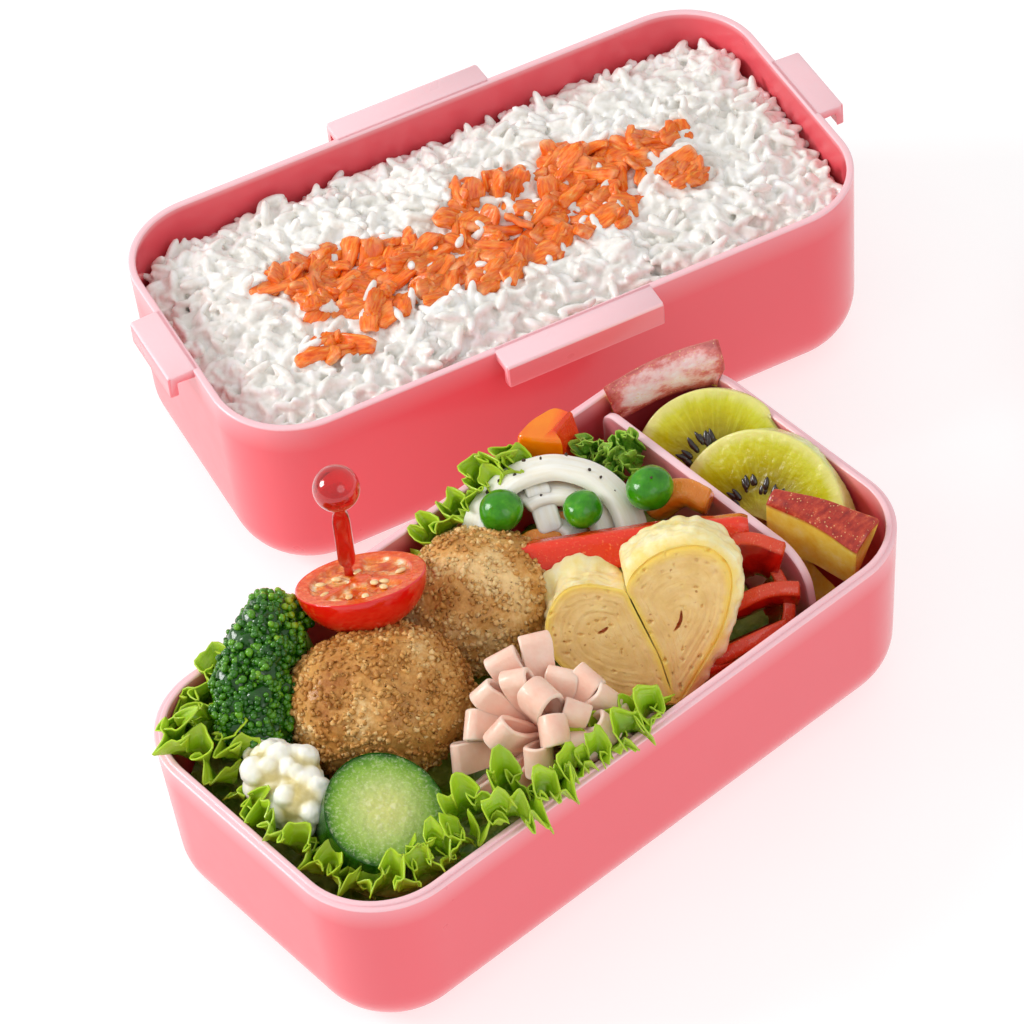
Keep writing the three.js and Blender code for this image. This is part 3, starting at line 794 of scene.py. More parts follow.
def lid_mesh():
    plug_out = UPPER["rim"] + LID["plug_gap"]
    plug_in = plug_out + LID["plug_wall"]
    flange, top = LID["plug"], LID["plug"] + LID["flange"] + LID["crown"]
    ceiling, inset = top - LID["skin"], LID["crown_inset"]
    profile = [(plug_in + inset * 0.5 + 4, ceiling), (plug_in + inset * 0.5, ceiling)]
    profile += [(plug_in + 1.5, ceiling - 0.8), (plug_in + 0.5, ceiling - 2.2), (plug_in, flange)]
    profile += arc_points(plug_in - 0.4, 0.4, 0.4, 0, -90, 4) + arc_points(plug_out + 0.4, 0.4, 0.4, -90, -180, 4)
    profile += [(plug_out, flange - 0.3), (plug_out - 0.3, flange)]
    profile += arc_points(0.0, flange + 0.6, 0.6, 270, 180, 5)
    profile += arc_points(0.0, flange + LID["flange"] - 0.6, 0.6, 180, 100, 4)
    profile += arc_points(inset, flange + LID["flange"] + 0.1, inset * 0.93, 178, 150, 5)[1:]
    profile += [(inset * 0.35, top - 1.6), (inset * 0.6, top - 0.45), (inset * 0.8, top - 0.08), (inset, top)]
    profile += [(10.2, top), (10.4, top - 0.1), (10.6, top - 0.4), (10.9, top - 0.5), (11.2, top - 0.5),
                (11.5, top - 0.4), (11.8, top - 0.1), (12.0, top), (15, top)]
    vertices, faces = outline_loft(profile)
    # Painted highlight: the flange band and the groove on top paler.
    pale = np.where((vertices[:, 2] > flange - 0.2) & (vertices[:, 2] < flange + LID["flange"] + 0.2), 0.35, 0.0)
    pale += 0.3 * ((vertices[:, 2] > top - 0.15) & (vertices[:, 2] < top - 0.05))
    return vertices, faces, pale


def ear_mesh(side, sign):
    """One bored ear, in the frame of its own side of the lid."""
    _, _, wall, kind = side
    inner = sign * (LUG[kind] / 2 + 0.4)
    outer = inner + sign * LATCH["ear"]
    low, high = min(inner, outer), max(inner, outer)
    radius, back = LATCH["knuckle"] + 0.2, HINGE_OUT + 1
    angles = np.linspace(0, 2 * math.pi, 48, endpoint=False)
    across, up = np.cos(angles), np.sin(angles)
    reach = np.where(across >= 0, radius,
                     np.minimum(back / np.maximum(-across, 1e-6), radius / np.maximum(abs(up), 1e-6)))
    rows, ease = [], 0.25
    for y, outside in ((low, False), (low, True), (low + ease, True),
                       (high - ease, True), (high, True), (high, False)):
        size = reach - ease * (y in (low, high)) if outside else np.full(48, LATCH["hole"])
        rows.append(np.column_stack([wall + HINGE_OUT + across * size, np.full(48, y), HINGE_Z + up * size]))
    faces = [quad[::-1] for quad in grid_faces(6, 48, wrap=True)]
    faces += [[5 * 48 + (i + 1) % 48, 5 * 48 + i, i, (i + 1) % 48][::-1] for i in range(48)]
    return np.vstack(rows), faces


def latch_mesh(side):
    """One flap with its knuckle, pin and hook, in the frame of its own side of the lid."""
    _, _, wall, kind = side
    x, half, flange = wall + HINGE_OUT, LUG[kind] / 2, LID["plug"]
    flap_in = wall + LUG["reach"] + LATCH["play"]
    flap_out, low = flap_in + LATCH["thickness"], flange - LATCH["below"]
    hook = LATCH["hook"]
    section = [(flap_in, HINGE_Z), (flap_in, flange - LUG["drop"] - 0.2)]
    section += [(flap_in - hook, flange - LUG["drop"] - 0.5)]
    section += arc_points(flap_in - hook + 0.4, low + 0.4, 0.4, 180, 270, 4)
    section += arc_points(flap_out + 0.4, low + 0.5, 0.5, 270, 360, 5)
    section += [(flap_out + 0.75, low + 1.4), (flap_out + 0.2, low + 2.2), (flap_out, low + 3.2)]
    section += [(flap_out, HINGE_Z + 0.2)] + arc_points(flap_out - 1.2, HINGE_Z + 0.2, 1.2, 20, 90, 5)
    section = np.array(section)
    axes = np.column_stack([(1, 0, 0), (0, 0, 1), (0, -1, 0)])

    def eased(reach):
        return [(-reach, 0.3), (-reach + 0.3, 0), (reach - 0.3, 0), (reach, 0.3)]

    shells = [prism(section, eased(half), axes)]
    for radius, reach in ((LATCH["knuckle"], half), (LATCH["pin"], half + 0.1 + LATCH["ear"])):
        shells.append(prism(oval(radius, radius, 32), eased(reach), axes, (x, 0, HINGE_Z)))
    return merged(shells)


def make_lid(material):
    shells = [lid_mesh()]
    for side in SIDES:
        for sign in (1, -1):
            vertices, faces = ear_mesh(side, sign)
            # Painted highlight: the ears a little paler.
            shells.append((vertices @ yaw_axes(side[1]).T, faces, np.full(len(vertices), 0.3)))
    vertices, faces, pale = merged(shells)
    piece("lid_skin", tier_to_row(vertices, LID_PLACE), faces, material, "lid", "lid_pink", ["lid_shell"],
          extra={"pale": pale})
    inner = UPPER["rim"] + LID["plug_gap"] - SEAL["gap"] / 2
    outer, high = inner - SEAL["thickness"], LID["plug"] - SEAL["gap"]
    low = high - SEAL["height"]
    fins = []
    for z in np.linspace(low + 0.2, high - 0.2, 21):
        fins.append((outer + 0.14 - 0.14 * math.cos((z - low) / SEAL["height"] * 6 * math.pi), z))
    profile = [(inner, high), (inner, low), (outer + 0.35, low)] + fins + [(outer + 0.35, high), (inner, high)]
    rings = outline_rings(profile)
    faces = grid_faces(len(rings), len(rings[0]), wrap=True)
    rubber = Look("silicone_seal", roughness=0.55, subsurface=0.2, scale=1.5)
    dust = rubber.noise(400, 4.0)
    rubber.set("Base Color", rubber.ramp(dust, (0.3, srgb(236, 224, 222)), (0.7, srgb(250, 244, 243))))
    rubber.bump(rubber.noise(2500, 2.0), 0.02, 0.5)
    piece("seal_ring", tier_to_row(np.vstack(rings), LID_PLACE), faces, rubber.material, "lid", "seal", ["lid_seal"])
    pale = plastic("latch_pale", srgb(248, 176, 186), srgb(244, 160, 172))
    for side in SIDES:
        vertices, faces = latch_mesh(side)
        node = "latch_" + side[0]
        # Painted highlight: the flap's lower part, the hook, paler.
        piece(node + "_flap", tier_to_row(vertices @ yaw_axes(side[1]).T, LID_PLACE), faces, pale, node,
              "latch_pale", [node], extra={"pale": (vertices[:, 2] < 1.5) * 0.5})


# ---- Fried croquettes -----------------------------------------------------------------------
# Each croquette: its three radii, its middle, its turn in degrees, its seed and how light its crust is coloured.
CROQUETTES = (("croquette_front", (20.5, 17.5, 15.5), (-35.5, 9, 42), -35, 31, 0.52),
              ("croquette_back", (18.5, 16.5, 15), (0.5, 19.5, 38), -20, 47, 0.72))
CRUMBS = 2600


def crumb_look():
    look = Look("fried_crumb", roughness=0.42, coat=0.2, subsurface=0.12, radius=(1.0, 0.5, 0.2), scale=1.2)
    # The note holds fried patches and painted shade: darker in the crust's hollows, lighter on its crests.
    toast_and_shade = look.note("toast_and_shade")
    shade = look.wander(toast_and_shade, 0.7, look.noise(1100, 4.0, 0.7))
    look.set("Base Color", look.ramp(shade, (0.05, srgb(124, 66, 16)), (0.28, srgb(170, 104, 38)),
                                     (0.5, srgb(198, 138, 66)), (0.72, srgb(222, 166, 92)),
                                     (0.95, srgb(246, 208, 146))))
    look.bump(look.noise(1500, 4.0, 0.7), 0.3, 0.9)
    return look.material


def make_croquettes():
    look = crumb_look()
    for name, radii, centre, yaw, seed, light in CROQUETTES:
        rng = np.random.default_rng(seed)
        direction, skin_faces = sphere(240, 130)
        body = direction * radii

        def relief(points):
            broad = 0.9 * noise_at(points, 1 / 13, seed) + 0.7 * noise_at(points, 1 / 5.5, seed + 1)
            ridges = 0.26 * noise_at(points, 1 / 2.6, seed + 2)
            return broad, ridges + 0.26 * abs(noise_at(points, 1 / 1.1, seed + 3))

        broad, fine = relief(body)
        skin = body + direction * (broad + fine)[:, None]
        patches = noise_at(body, 1 / 9, seed + 4)
        # Painted shade: the crust is darker in the hollows of its fine relief and lighter on its crests, over random
        # fried patches.
        toast_and_shade = light + 0.42 * patches + 0.5 * fine
        chunk, chunk_faces = sphere(7, 4)
        way = random_ways(rng, CRUMBS)
        way = way[way[:, 2] > -0.6]
        spots = way * radii
        spot_broad, spot_fine = relief(spots)
        spots += way * (spot_broad + 0.6 * spot_fine + 0.15)[:, None]
        size = rng.uniform(0.2, 0.75, (len(way), 1)) * rng.uniform(0.6, 1.4, (len(way), 3))
        crumbs, crumb_faces = scatter(chunk, chunk_faces, spots, turns(*rng.uniform(0, 6.3, (3, len(way)))), size)
        crumbs += 0.12 * rng.normal(0, 1, crumbs.shape)
        # The crumbs stand out, so they are painted a little lighter.
        crumb_toast_and_shade = np.repeat(light + 0.08 + 0.42 * noise_at(way * radii, 1 / 9, seed + 4)
                                + rng.normal(0, 0.12, len(way)), len(chunk))
        vertices, faces, toast_and_shade = merged([(skin, skin_faces, toast_and_shade), (crumbs, crumb_faces, crumb_toast_and_shade)])
        piece(name + "_crumbs", vertices @ yaw_axes(yaw).T + centre, faces, look, "lower_tier", "crumb", [name],
              sharp=None, extra={"toast_and_shade": toast_and_shade})


# ---- Cucumber -------------------------------------------------------------------------------


def make_cucumber():
    radius, half = 13.3, 6.0
    axes, centre = frame_axes((0.04, -0.38, 0.92), (1, -0.8, 0)), np.array([-57.4, -16.6, 42.2])
    outline = oval(radius, radius, 180)
    outline *= (1 + 0.012 * np.cos(3 * np.linspace(0, 2 * math.pi, 180, endpoint=False) + 0.6))[:, None]
    profile = [(0, -half)] + [(s, -half) for s in (0.3, 0.6, 0.85, 0.93)]
    profile += [(0.97 + 0.03 * math.sin(a), -half + 1.2 - 1.2 * math.cos(a)) for a in np.linspace(0, 1.57, 5)]
    profile += [(1.0, w) for w in np.linspace(-half + 1.5, half - 0.8, 14)]
    profile += [(0.978 + 0.022 * math.sin(a), half - 0.5 + 0.5 * math.cos(a)) for a in np.linspace(1.57, 0, 5)]
    profile += [(s, half) for s in np.linspace(0.97, 0.02, 70)] + [(0, half)]
    local, faces = domed(outline, profile)
    face = local[:, 2] > half - 0.05
    spread = np.hypot(local[:, 0], local[:, 1]) / radius
    relief = 0.16 * noise_at(local, 1 / 2.2, 3) + 0.1 * noise_at(local * (1, 1, 0), 1 / 0.9, 4)
    relief += 0.25 * np.exp(-((spread - 0.62) / 0.06) ** 2) * noise_at(local, 1 / 3, 8)
    local[:, 2] += face * (relief + 0.5 * (1 - spread ** 2) - 0.35)
    look = Look("cucumber_slice", roughness=0.26, coat=0.2, subsurface=0.15, radius=(0.6, 1.0, 0.2), scale=1.5)
    place = look.local()
    out, spin = look.polar(place, 5.0, 0.12)
    rays = look.noise(2.2, 4.0, 0.6, spin)
    wander = look.maths("MULTIPLY_ADD", look.noise(0.35, 3.0, 0.5, place), 0.16, look.maths("MULTIPLY", out, 0.069))
    reach = look.maths("ADD", wander, look.maths("MULTIPLY_ADD", rays, 0.12, -0.06))
    flesh = look.ramp(reach, (0.0, srgb(222, 222, 132)), (0.3, srgb(208, 214, 126)), (0.52, srgb(184, 204, 112)),
                      (0.68, srgb(158, 190, 84)), (0.8, srgb(132, 174, 56)), (0.92, srgb(84, 138, 26)),
                      (0.99, srgb(34, 84, 10)))
    flecks = look.rise(look.noise(1.5, 4.0, 0.7, place), 0.5, 0.7)
    flesh = look.mix(look.maths("MULTIPLY", flecks, 0.4), flesh, srgb(244, 248, 208))
    seeds = look.cells(0.42, "F1", look.distort(place, 1.2))
    pulp = look.fall(look.maths("MULTIPLY", out, 0.062), 0.0, 0.55)
    seeds = look.maths("MULTIPLY", pulp, look.fall(seeds, 0.2, 0.34))
    flesh = look.mix(look.maths("MULTIPLY", seeds, 0.6), flesh, srgb(246, 244, 196))
    stripes = look.noise(1.6, 3.0, 0.6, spin)
    skin = look.ramp(stripes, (0.3, srgb(14, 58, 4)), (0.6, srgb(32, 92, 10)), (0.8, srgb(80, 140, 30)))
    side = look.note("side")
    look.set("Base Color", look.mix(side, flesh, skin))
    look.bump(look.noise(0.9, 4.0, 0.65, place), 0.35, 0.5)
    side_note = np.clip((spread - 0.972) / 0.02, 0, 1) * (local[:, 2] < half - 0.02)
    piece("cucumber_cut", local @ axes.T + centre, faces, look.material, "lower_tier", "cucumber",
          ["cucumber_slice"], local=local, extra={"side": side_note}, sharp=60)


# ---- Rolled egg heart -----------------------------------------------------------------------
EGG_SEAM = (16, -21.6, 46)
EGG_DEPTH = 18.0
EGG_LEFT = ((3.7, -15.5), (-2.5, -14.3), (-7.9, -12.7), (-17.0, -7.0), (-21.4, -2.0), (-22.6, 3.8), (-20.9, 9.2),
            (-17.3, 12.9), (-12.4, 13.7), (-7.7, 12.5), (-4.3, 11.0), (-3.1, 8.0), (-1.8, 4.4), (0.0, -0.4),
            (1.5, -4.6), (2.7, -10.0))
EGG_RIGHT = ((4.1, -15.5), (9.6, -8.9), (15.6, -0.2), (18.6, 8.3), (18.6, 13.9), (15.3, 18.1), (10.0, 19.5),
             (3.8, 18.4), (-0.7, 15.8), (-3.9, 12.0), (-2.7, 8.0), (-1.4, 4.4), (0.4, -0.4), (1.9, -4.6),
             (3.1, -10.0))


def egg_look():
    look = Look("rolled_egg", roughness=0.4, coat=0.12, subsurface=0.3, radius=(1.0, 0.72, 0.3), scale=2.0)
    place = look.local()
    wrap = look.note("wrap")
    coil = look.note("coil")
    wander = look.maths("MULTIPLY_ADD", look.noise(0.16, 2.0, 0.5, place), 1.1, look.maths("MULTIPLY", coil, 5.0))
    # Darker lines along the roll's layers: partly their browner seams, partly painted shade in the grooves between
    # them.
    line = look.maths("PINGPONG", wander, 0.5)
    crease = look.ramp(line, (0.0, WHITE), (0.045, (0.25, 0.25, 0.25, 1)), (0.11, BLACK))
    crease = look.maths("MULTIPLY", crease, look.ramp(look.noise(0.25, 2.0, 0.5, place), (0.42, BLACK),
                                                      (0.6, (0.7, 0.7, 0.7, 1))))
    tone = look.ramp(look.noise(0.22, 4.0, 0.6, place), (0.25, srgb(226, 184, 108)), (0.5, srgb(238, 200, 130)),
                     (0.75, srgb(246, 216, 152)))
    face = look.mix(look.maths("MULTIPLY", crease, 0.55), tone, srgb(206, 150, 62))
    # Painted shade: dark cells for the fine holes of the cut face.
    hole_shade = look.fall(look.cells(0.42, "F1", look.distort(place, 0.5)), 0.1, 0.17)
    hole_shade = look.maths("MULTIPLY", hole_shade, look.rise(look.noise(0.5, 1.0, 0.5, place), 0.5, 0.55))
    face = look.mix(look.maths("MULTIPLY", hole_shade, 0.8), face, srgb(176, 112, 44))
    # Painted shade: the slit in the middle of the roll painted dark red-brown.
    hollow = look.note("hollow")
    face = look.mix(hollow, face, srgb(186, 84, 34))
    edge = look.ramp(look.wander(wrap, 0.3, look.noise(0.4, 3.0, 0.5, place)),
                     (0.0, BLACK), (0.3, (0.6, 0.6, 0.6, 1)), (0.5, WHITE))
    rind = look.ramp(look.noise(0.3, 4.0, 0.6, place), (0.3, srgb(248, 222, 136)), (0.55, srgb(252, 238, 182)),
                     (0.75, srgb(254, 247, 214)))
    gold = look.mix(look.rise(wrap, 0.45, 0.9), srgb(246, 210, 92), rind)
    look.set("Base Color", look.mix(edge, face, gold))
    look.bump(look.noise(1.6, 4.0, 0.65, place), 0.2, 0.6)
    return look.material


def egg_half(name, node, points, centre, bulge, slit, seed):
    """One half of the heart. The seam side stays flat and the rest swells behind the cut face.

    `slit` gives the small hollow in the middle of the roll, which is sunk and painted dark as painted shade: (u, v),
    its direction and its half length.
    """
    outline = dense_outline(points, 0.45)
    axes = frame_axes((-0.50, -0.68, 0.545), (0.805, -0.594, 0))
    seam_low, seam_high = np.array([3.9, -15.5]), np.array([-4.1, 11.4])
    along = unit(seam_high - seam_low)
    off = abs((outline - seam_low) @ np.array([-along[1], along[0]]))
    free = np.clip(off / 3.5, 0, 1)
    free = free * free * (3 - 2 * free)
    outward = -(inset_outline(outline, 1.0) - outline)
    outward /= np.linalg.norm(outward, axis=1)[:, None]
    centre = np.array(centre)
    rings, notes = [], []
    for s in np.linspace(0.02, 1.0, 80):
        rings.append(np.column_stack([centre + (outline - centre) * s, np.zeros(len(outline))]))
        notes.append((max(0.0, (s - 0.82) / 0.18 * 0.5), s))
    depths = np.concatenate([np.linspace(0.15, 3.2, 14), np.linspace(3.6, EGG_DEPTH - 2.5, 40),
                             np.linspace(EGG_DEPTH - 2.2, EGG_DEPTH, 8)])
    for depth in depths:
        swell = bulge * (1 - math.exp(-depth / 1.5)) * (1 - 0.15 * (depth / EGG_DEPTH))
        swell -= 3.0 * max(0.0, (depth - EGG_DEPTH + 2.2) / 2.2) ** 2
        ringed = outline + outward * (swell * free)[:, None]
        rings.append(np.column_stack([ringed, np.full(len(outline), -depth)]))
        notes.append((min(1.0, 0.55 + depth / 4), 1.0))
    count = len(outline)
    local = np.vstack(rings)
    side = np.tile(outward * free[:, None], (len(rings), 1))
    wrap, coil = (np.repeat([note[k] for note in notes], count) for k in (0, 1))
    ruffle = 0.75 * noise_at(local * (1, 1, 0.7), 1 / 3.6, seed) + 0.45 * noise_at(local, 1 / 1.8, seed + 1)
    pleat = 0.5 * np.abs(noise_at(local * (1, 1, 0.25), 1 / 2.6, seed + 2))
    on_side = np.clip((wrap - 0.5) * 2.2, 0, 1)
    local[:, :2] += side * ((ruffle - pleat) * on_side)[:, None]
    on_face = local[:, 2] > -0.01
    steps = noise_at(np.column_stack([coil * 14, coil * 0, coil * 0]), 1.0, seed) * 0.12
    pits = np.clip(-noise_at(local, 1 / 1.3, seed + 5) - 0.42, 0, 1) * 2.4
    local[:, 2] += on_face * (0.18 * noise_at(local, 1 / 4, seed + 3) + steps - pits)
    rounding = np.clip((coil - 0.93) / 0.07, 0, 1) * on_face
    local[:, 2] -= 0.5 * rounding ** 2 * np.tile(free, len(rings))
    run = (local[:, :2] - np.array(slit[:2])) @ np.array(slit[2:4])
    bow = run ** 2 * 0.1
    across = (local[:, :2] - np.array(slit[:2])) @ np.array([-slit[3], slit[2]]) - bow
    # The hollow note also paints the slit dark, as painted shade.
    hollow = np.clip(1.2 - np.hypot(run / slit[4], across / 0.34), 0, 1) * on_face
    local[:, 2] -= 0.9 * np.clip(hollow * 2.5, 0, 1)
    faces = tube_faces(len(rings), count, flipped=True)
    piece(name, local @ axes.T + EGG_SEAM, faces, egg_look(), "lower_tier", "egg", [node], local=local,
          extra={"wrap": wrap, "coil": coil, "hollow": np.clip(hollow * 3, 0, 1)}, sharp=70)


def make_egg():
    egg_half("egg_heart_left", "egg_roll_left", EGG_LEFT, (-9.6, 1.0), 1.4, (-9.9, 2.7, 0.9, 0.43, 1.2), 61)
    egg_half("egg_heart_right", "egg_roll_right", EGG_RIGHT, (7.4, 4.0), 3.4, (6.9, 2.8, 0.42, 0.9, 2.2), 67)


# ---- Tomato half and pick -------------------------------------------------------------------
TOMATO_CUT, TOMATO_RADIUS, TOMATO_DEPTH = (-23, 28.6, 57), 14.6, 11.8


def make_tomato():
    axes = frame_axes((0.18, 0.40, 0.90), (0.78, -0.62, 0.12))
    angles = np.linspace(0, 2 * math.pi, 160, endpoint=False)
    outline = oval(TOMATO_RADIUS, TOMATO_RADIUS, 160) * (1 + 0.012 * np.cos(2 * angles + 1))[:, None]
    profile = [(math.sin(a), -TOMATO_DEPTH * math.cos(a)) for a in np.linspace(0, math.pi / 2 - 0.03, 60)]
    profile += [(1.0, -0.2), (0.992, -0.05), (0.978, 0.02)]
    profile += [(s, 0.0) for s in np.linspace(0.965, 0.01, 90)] + [(0, 0)]
    local, faces = domed(outline, profile)
    spread = np.hypot(local[:, 0], local[:, 1]) / TOMATO_RADIUS
    turn = np.arctan2(local[:, 1], local[:, 0])
    face = local[:, 2] > -0.03
    chamber = np.clip((0.80 - spread) / 0.05, 0, 1) * np.clip((spread - 0.16) / 0.05, 0, 1)
    chamber = chamber * np.clip((abs(np.sin(1.5 * turn + 0.5)) - 0.2) / 0.15, 0, 1)
    gel = 0.5 * noise_at(local, 1 / 2.4, 5) + 0.25 * noise_at(local, 1 / 1.1, 6)
    local[:, 2] += face * (-0.75 * chamber + chamber * gel + 0.08 * noise_at(local, 1 / 1.5, 7))
    look = Look("tomato_half", roughness=0.12, coat=0.8, subsurface=0.35, radius=(1.0, 0.25, 0.08), scale=3.0)
    place = look.local()
    cut = look.note("cut")
    pit = look.note("chamber")
    low = look.note("low")
    skin = look.ramp(look.wander(low, 0.3, look.noise(0.12, 3.0, 0.5, place)), (0.0, srgb(222, 12, 6)),
                     (0.5, srgb(232, 26, 8)), (1.0, srgb(244, 66, 18)))
    pulp = look.ramp(look.noise(0.7, 4.0, 0.6, place), (0.3, srgb(222, 74, 14)), (0.55, srgb(236, 104, 30)),
                     (0.8, srgb(248, 160, 96)))
    # The jelly's palest stops are partly pale gel and partly painted wet highlights.
    jelly_and_glints = look.ramp(look.noise(0.22, 4.0, 0.6, place), (0.38, srgb(212, 78, 10)), (0.5, srgb(238, 130, 40)),
                      (0.58, srgb(250, 196, 130)), (0.66, srgb(255, 240, 214)))
    inside = look.mix(pit, pulp, jelly_and_glints)
    look.set("Base Color", look.mix(cut, skin, inside))
    look.bump(look.maths("MULTIPLY", look.noise(0.9, 4.0, 0.6, place), cut), 0.4, 0.7)
    rng = np.random.default_rng(9)
    seed_shape, seed_faces = sphere(12, 8)
    count = 11
    where = rng.uniform(0, 2 * math.pi, count)
    far = rng.uniform(0.3, 0.72, count) * TOMATO_RADIUS
    spots = np.column_stack([far * np.cos(where), far * np.sin(where), rng.uniform(-0.6, -0.15, count)])
    level = np.zeros(count)
    seeds, all_faces = scatter(seed_shape, seed_faces, spots, turns(where + rng.normal(0, 0.4, count), level, level),
                               np.tile((1.35, 0.85, 0.5), (count, 1)))
    vertices = local @ axes.T + TOMATO_CUT
    cut_note = np.clip((0.985 - spread) / 0.01, 0, 1) * face
    piece("tomato_flesh", vertices, faces, look.material, "lower_tier", "tomato", ["tomato_half"], local=local,
          extra={"cut": cut_note, "chamber": chamber * face, "low": np.clip(-local[:, 2] / TOMATO_DEPTH, 0, 1)},
          sharp=60)
    pip = Look("tomato_seed", roughness=0.2, coat=0.6, subsurface=0.3, radius=(1.0, 0.6, 0.3), scale=1.0)
    pip.set("Base Color", pip.ramp(pip.noise(600, 2.0), (0.3, srgb(240, 190, 120)), (0.7, srgb(252, 228, 178))))
    pip.bump(pip.noise(3000, 2.0), 0.05, 0.5)
    piece("tomato_seeds", seeds @ axes.T + TOMATO_CUT, all_faces, pip.material, "lower_tier", "tomato",
          ["tomato_half"])


def make_pick():
    """A clear ball on a flat stem with two ribs, drawn out to a point inside the tomato."""
    look = Look("clear_red_pick", roughness=0.04, coat=0.6)
    look.set("Transmission Weight", 0.72)
    look.set("IOR", 1.49)
    swirl = look.noise(160, 3.0, 0.5)
    look.set("Base Color", look.ramp(swirl, (0.3, srgb(196, 8, 12)), (0.7, srgb(236, 28, 30))))
    look.bump(look.noise(700, 2.0), 0.03, 0.25)
    x, y = -22.5, 33.5
    ball, ball_faces = sphere(64, 40)
    ball = ball * 5.2 + (0, 0, 81.5)
    ball[:, 2] = np.maximum(ball[:, 2], 76.8)
    section = rounded_section(1.0, 1.0, 0.5, 6)
    groove = 1 - 0.3 * np.exp(-(section[:, 0] / 0.28) ** 2)
    section = section * np.column_stack([np.ones(len(section)), groove])
    stations = ((45.2, 0.12, 0.12), (48, 0.6, 0.5), (52, 0.95, 0.7), (57, 1.0, 0.75), (58, 1.75, 0.9),
                (59.5, 1.95, 1.05), (66, 1.95, 1.05), (71.5, 1.95, 1.05), (73.4, 1.7, 1.0), (74.6, 1.25, 0.95),
                (75.6, 1.4, 1.2), (76.6, 2.3, 2.1), (77.2, 2.6, 2.5))
    path = np.array([(0, 0, z) for z, _, _ in stations], float)
    sections = np.array([section * (a, b) for _, a, b in stations])
    stem, stem_faces = swept(sections, path, (0.75, -0.6565, 0))
    vertices, faces = merged([(ball, ball_faces), (stem, stem_faces)])
    piece("pick_clear_red", vertices + (x, y, 0), faces, look.material, "food_pick", "pick_red", ["food_pick"],
          sharp=50)


# ---- Lettuce and parsley --------------------------------------------------------------------
def leaf_look(name, rib, blade, bright, edge, fine=1.0):
    look = Look(name, roughness=0.34, coat=0.25, subsurface=0.3, radius=(0.5, 1.0, 0.2), scale=1.0)
    place = look.local()
    margin = look.note("margin")
    cloud = look.noise(0.12 * fine, 3.0, 0.55, place)
    tone = look.ramp(look.wander(margin, 0.5, cloud), (0.0, rib), (0.35, blade), (0.7, bright), (0.98, edge))
    veins = look.cells(0.28 * fine, "DISTANCE_TO_EDGE", look.distort(place, 1.6))
    vein = look.fall(veins, 0.0, 0.07)
    look.set("Base Color", look.mix(look.maths("MULTIPLY", vein, 0.35), tone, rib))
    grain = look.noise(0.9 * fine, 4.0, 0.6, place)
    look.bump(look.maths("MULTIPLY_ADD", grain, 0.6, look.maths("MULTIPLY", veins, 1.6)), 0.5, 0.6)
    look.set("Roughness", look.maths("MULTIPLY_ADD", cloud, 0.25, 0.22))
    return look.material


def leaf_sheet(foot, grow, height, seed, wave=9.0, swing=4.2, lean=0.0, rows=34, spacing=0.24):
    """A leaf with a ruffled margin: (vertices, faces, local, margin).

    `foot` is the path of its base and `grow` the way it rises. `wave` is the length of its folds, `swing` their
    depth, and `lean` how far the margin tips over.
    """
    path = np.asarray(foot, float)
    length = np.linalg.norm(np.diff(path, axis=0), axis=1).sum()
    columns = int(length / spacing)
    base = smooth_path(path, columns)
    s = np.concatenate([[0], np.cumsum(np.linalg.norm(np.diff(base, axis=0), axis=1))])
    tangent = np.gradient(base, axis=0)
    tangent /= np.linalg.norm(tangent, axis=1)[:, None]
    grow = np.broadcast_to(unit(grow), base.shape)
    out = np.cross(tangent, grow)
    out /= np.linalg.norm(out, axis=1)[:, None]
    strip = np.column_stack([s, s * 0, s * 0])
    tall = height * (0.82 + 0.42 * noise_at(strip, 1 / 11, seed))
    tall *= np.sin(np.pi * np.clip(s / length, 0.03, 0.97)) ** 0.35
    tall += 1.3 * noise_at(strip, 1 / 2.6, seed + 1) + 0.5 * noise_at(strip, 1 / 1.1, seed + 2)
    phase = 2 * np.pi * s / wave + 2.2 * noise_at(strip, 1 / 12, seed + 3)
    size = swing * (1 + 0.5 * noise_at(strip, 1 / 8, seed + 4))
    fine = 2 * np.pi * s / (wave * 0.31) + 3.0 * noise_at(strip, 1 / 6, seed + 5)
    frill = 2 * np.pi * s / (wave * 0.14) + 4.0 * noise_at(strip, 1 / 4, seed + 8)
    rows_at, local, margin = [], [], []
    for t in np.linspace(0, 1, rows):
        edge = np.clip((t - 0.4) / 0.6, 0, 1)
        ruffle = 0.66 * size * t ** 1.4 * np.sin(phase) + 0.42 * size * edge ** 1.2 * np.sin(fine)
        ruffle += 0.2 * size * edge ** 2.4 * np.sin(frill)
        slide = -0.3 * size * t ** 2 * np.sin(2 * phase) + 0.26 * size * edge * np.cos(fine)
        here = base + grow * (tall * t)[:, None] + tangent * slide[:, None]
        here += out * (ruffle + lean * height * t * t)[:, None]
        flat = np.column_stack([s, np.full(columns, t * height), s * 0])
        blister = 0.8 * noise_at(flat, 1 / 3.4, seed + 6) + 0.35 * noise_at(flat, 1 / 1.5, seed + 7)
        rows_at.append(here + out * (blister * min(1, 3 * t))[:, None])
        local.append(flat + (seed * 7.0, 0, 0))
        margin.append(np.full(columns, t))
    return np.vstack(rows_at), grid_faces(rows, columns), np.vstack(local), np.concatenate(margin)


def draped(points):
    """Points of a leaf bent down where they pass over the lower tier's front rim."""
    past = np.clip(-41 - points[:, 1], 0, None)
    return points - np.column_stack([0 * past, 0.6 * past, 1.25 * past])


def leaves(name, sheets, material, nodes=(), thickness=0.35):
    """Leaf sheets as one thin piece."""
    vertices, faces, local, margin = merged(sheets)
    obj = piece(name, draped(kept_inside(vertices)), faces, material, "lower_tier", "lettuce", nodes, sharp=None,
                local=local, extra={"margin": margin}, keep=False)
    thick = obj.modifiers.new("thickness", "SOLIDIFY")
    thick.thickness, thick.offset = thickness * MM, 0


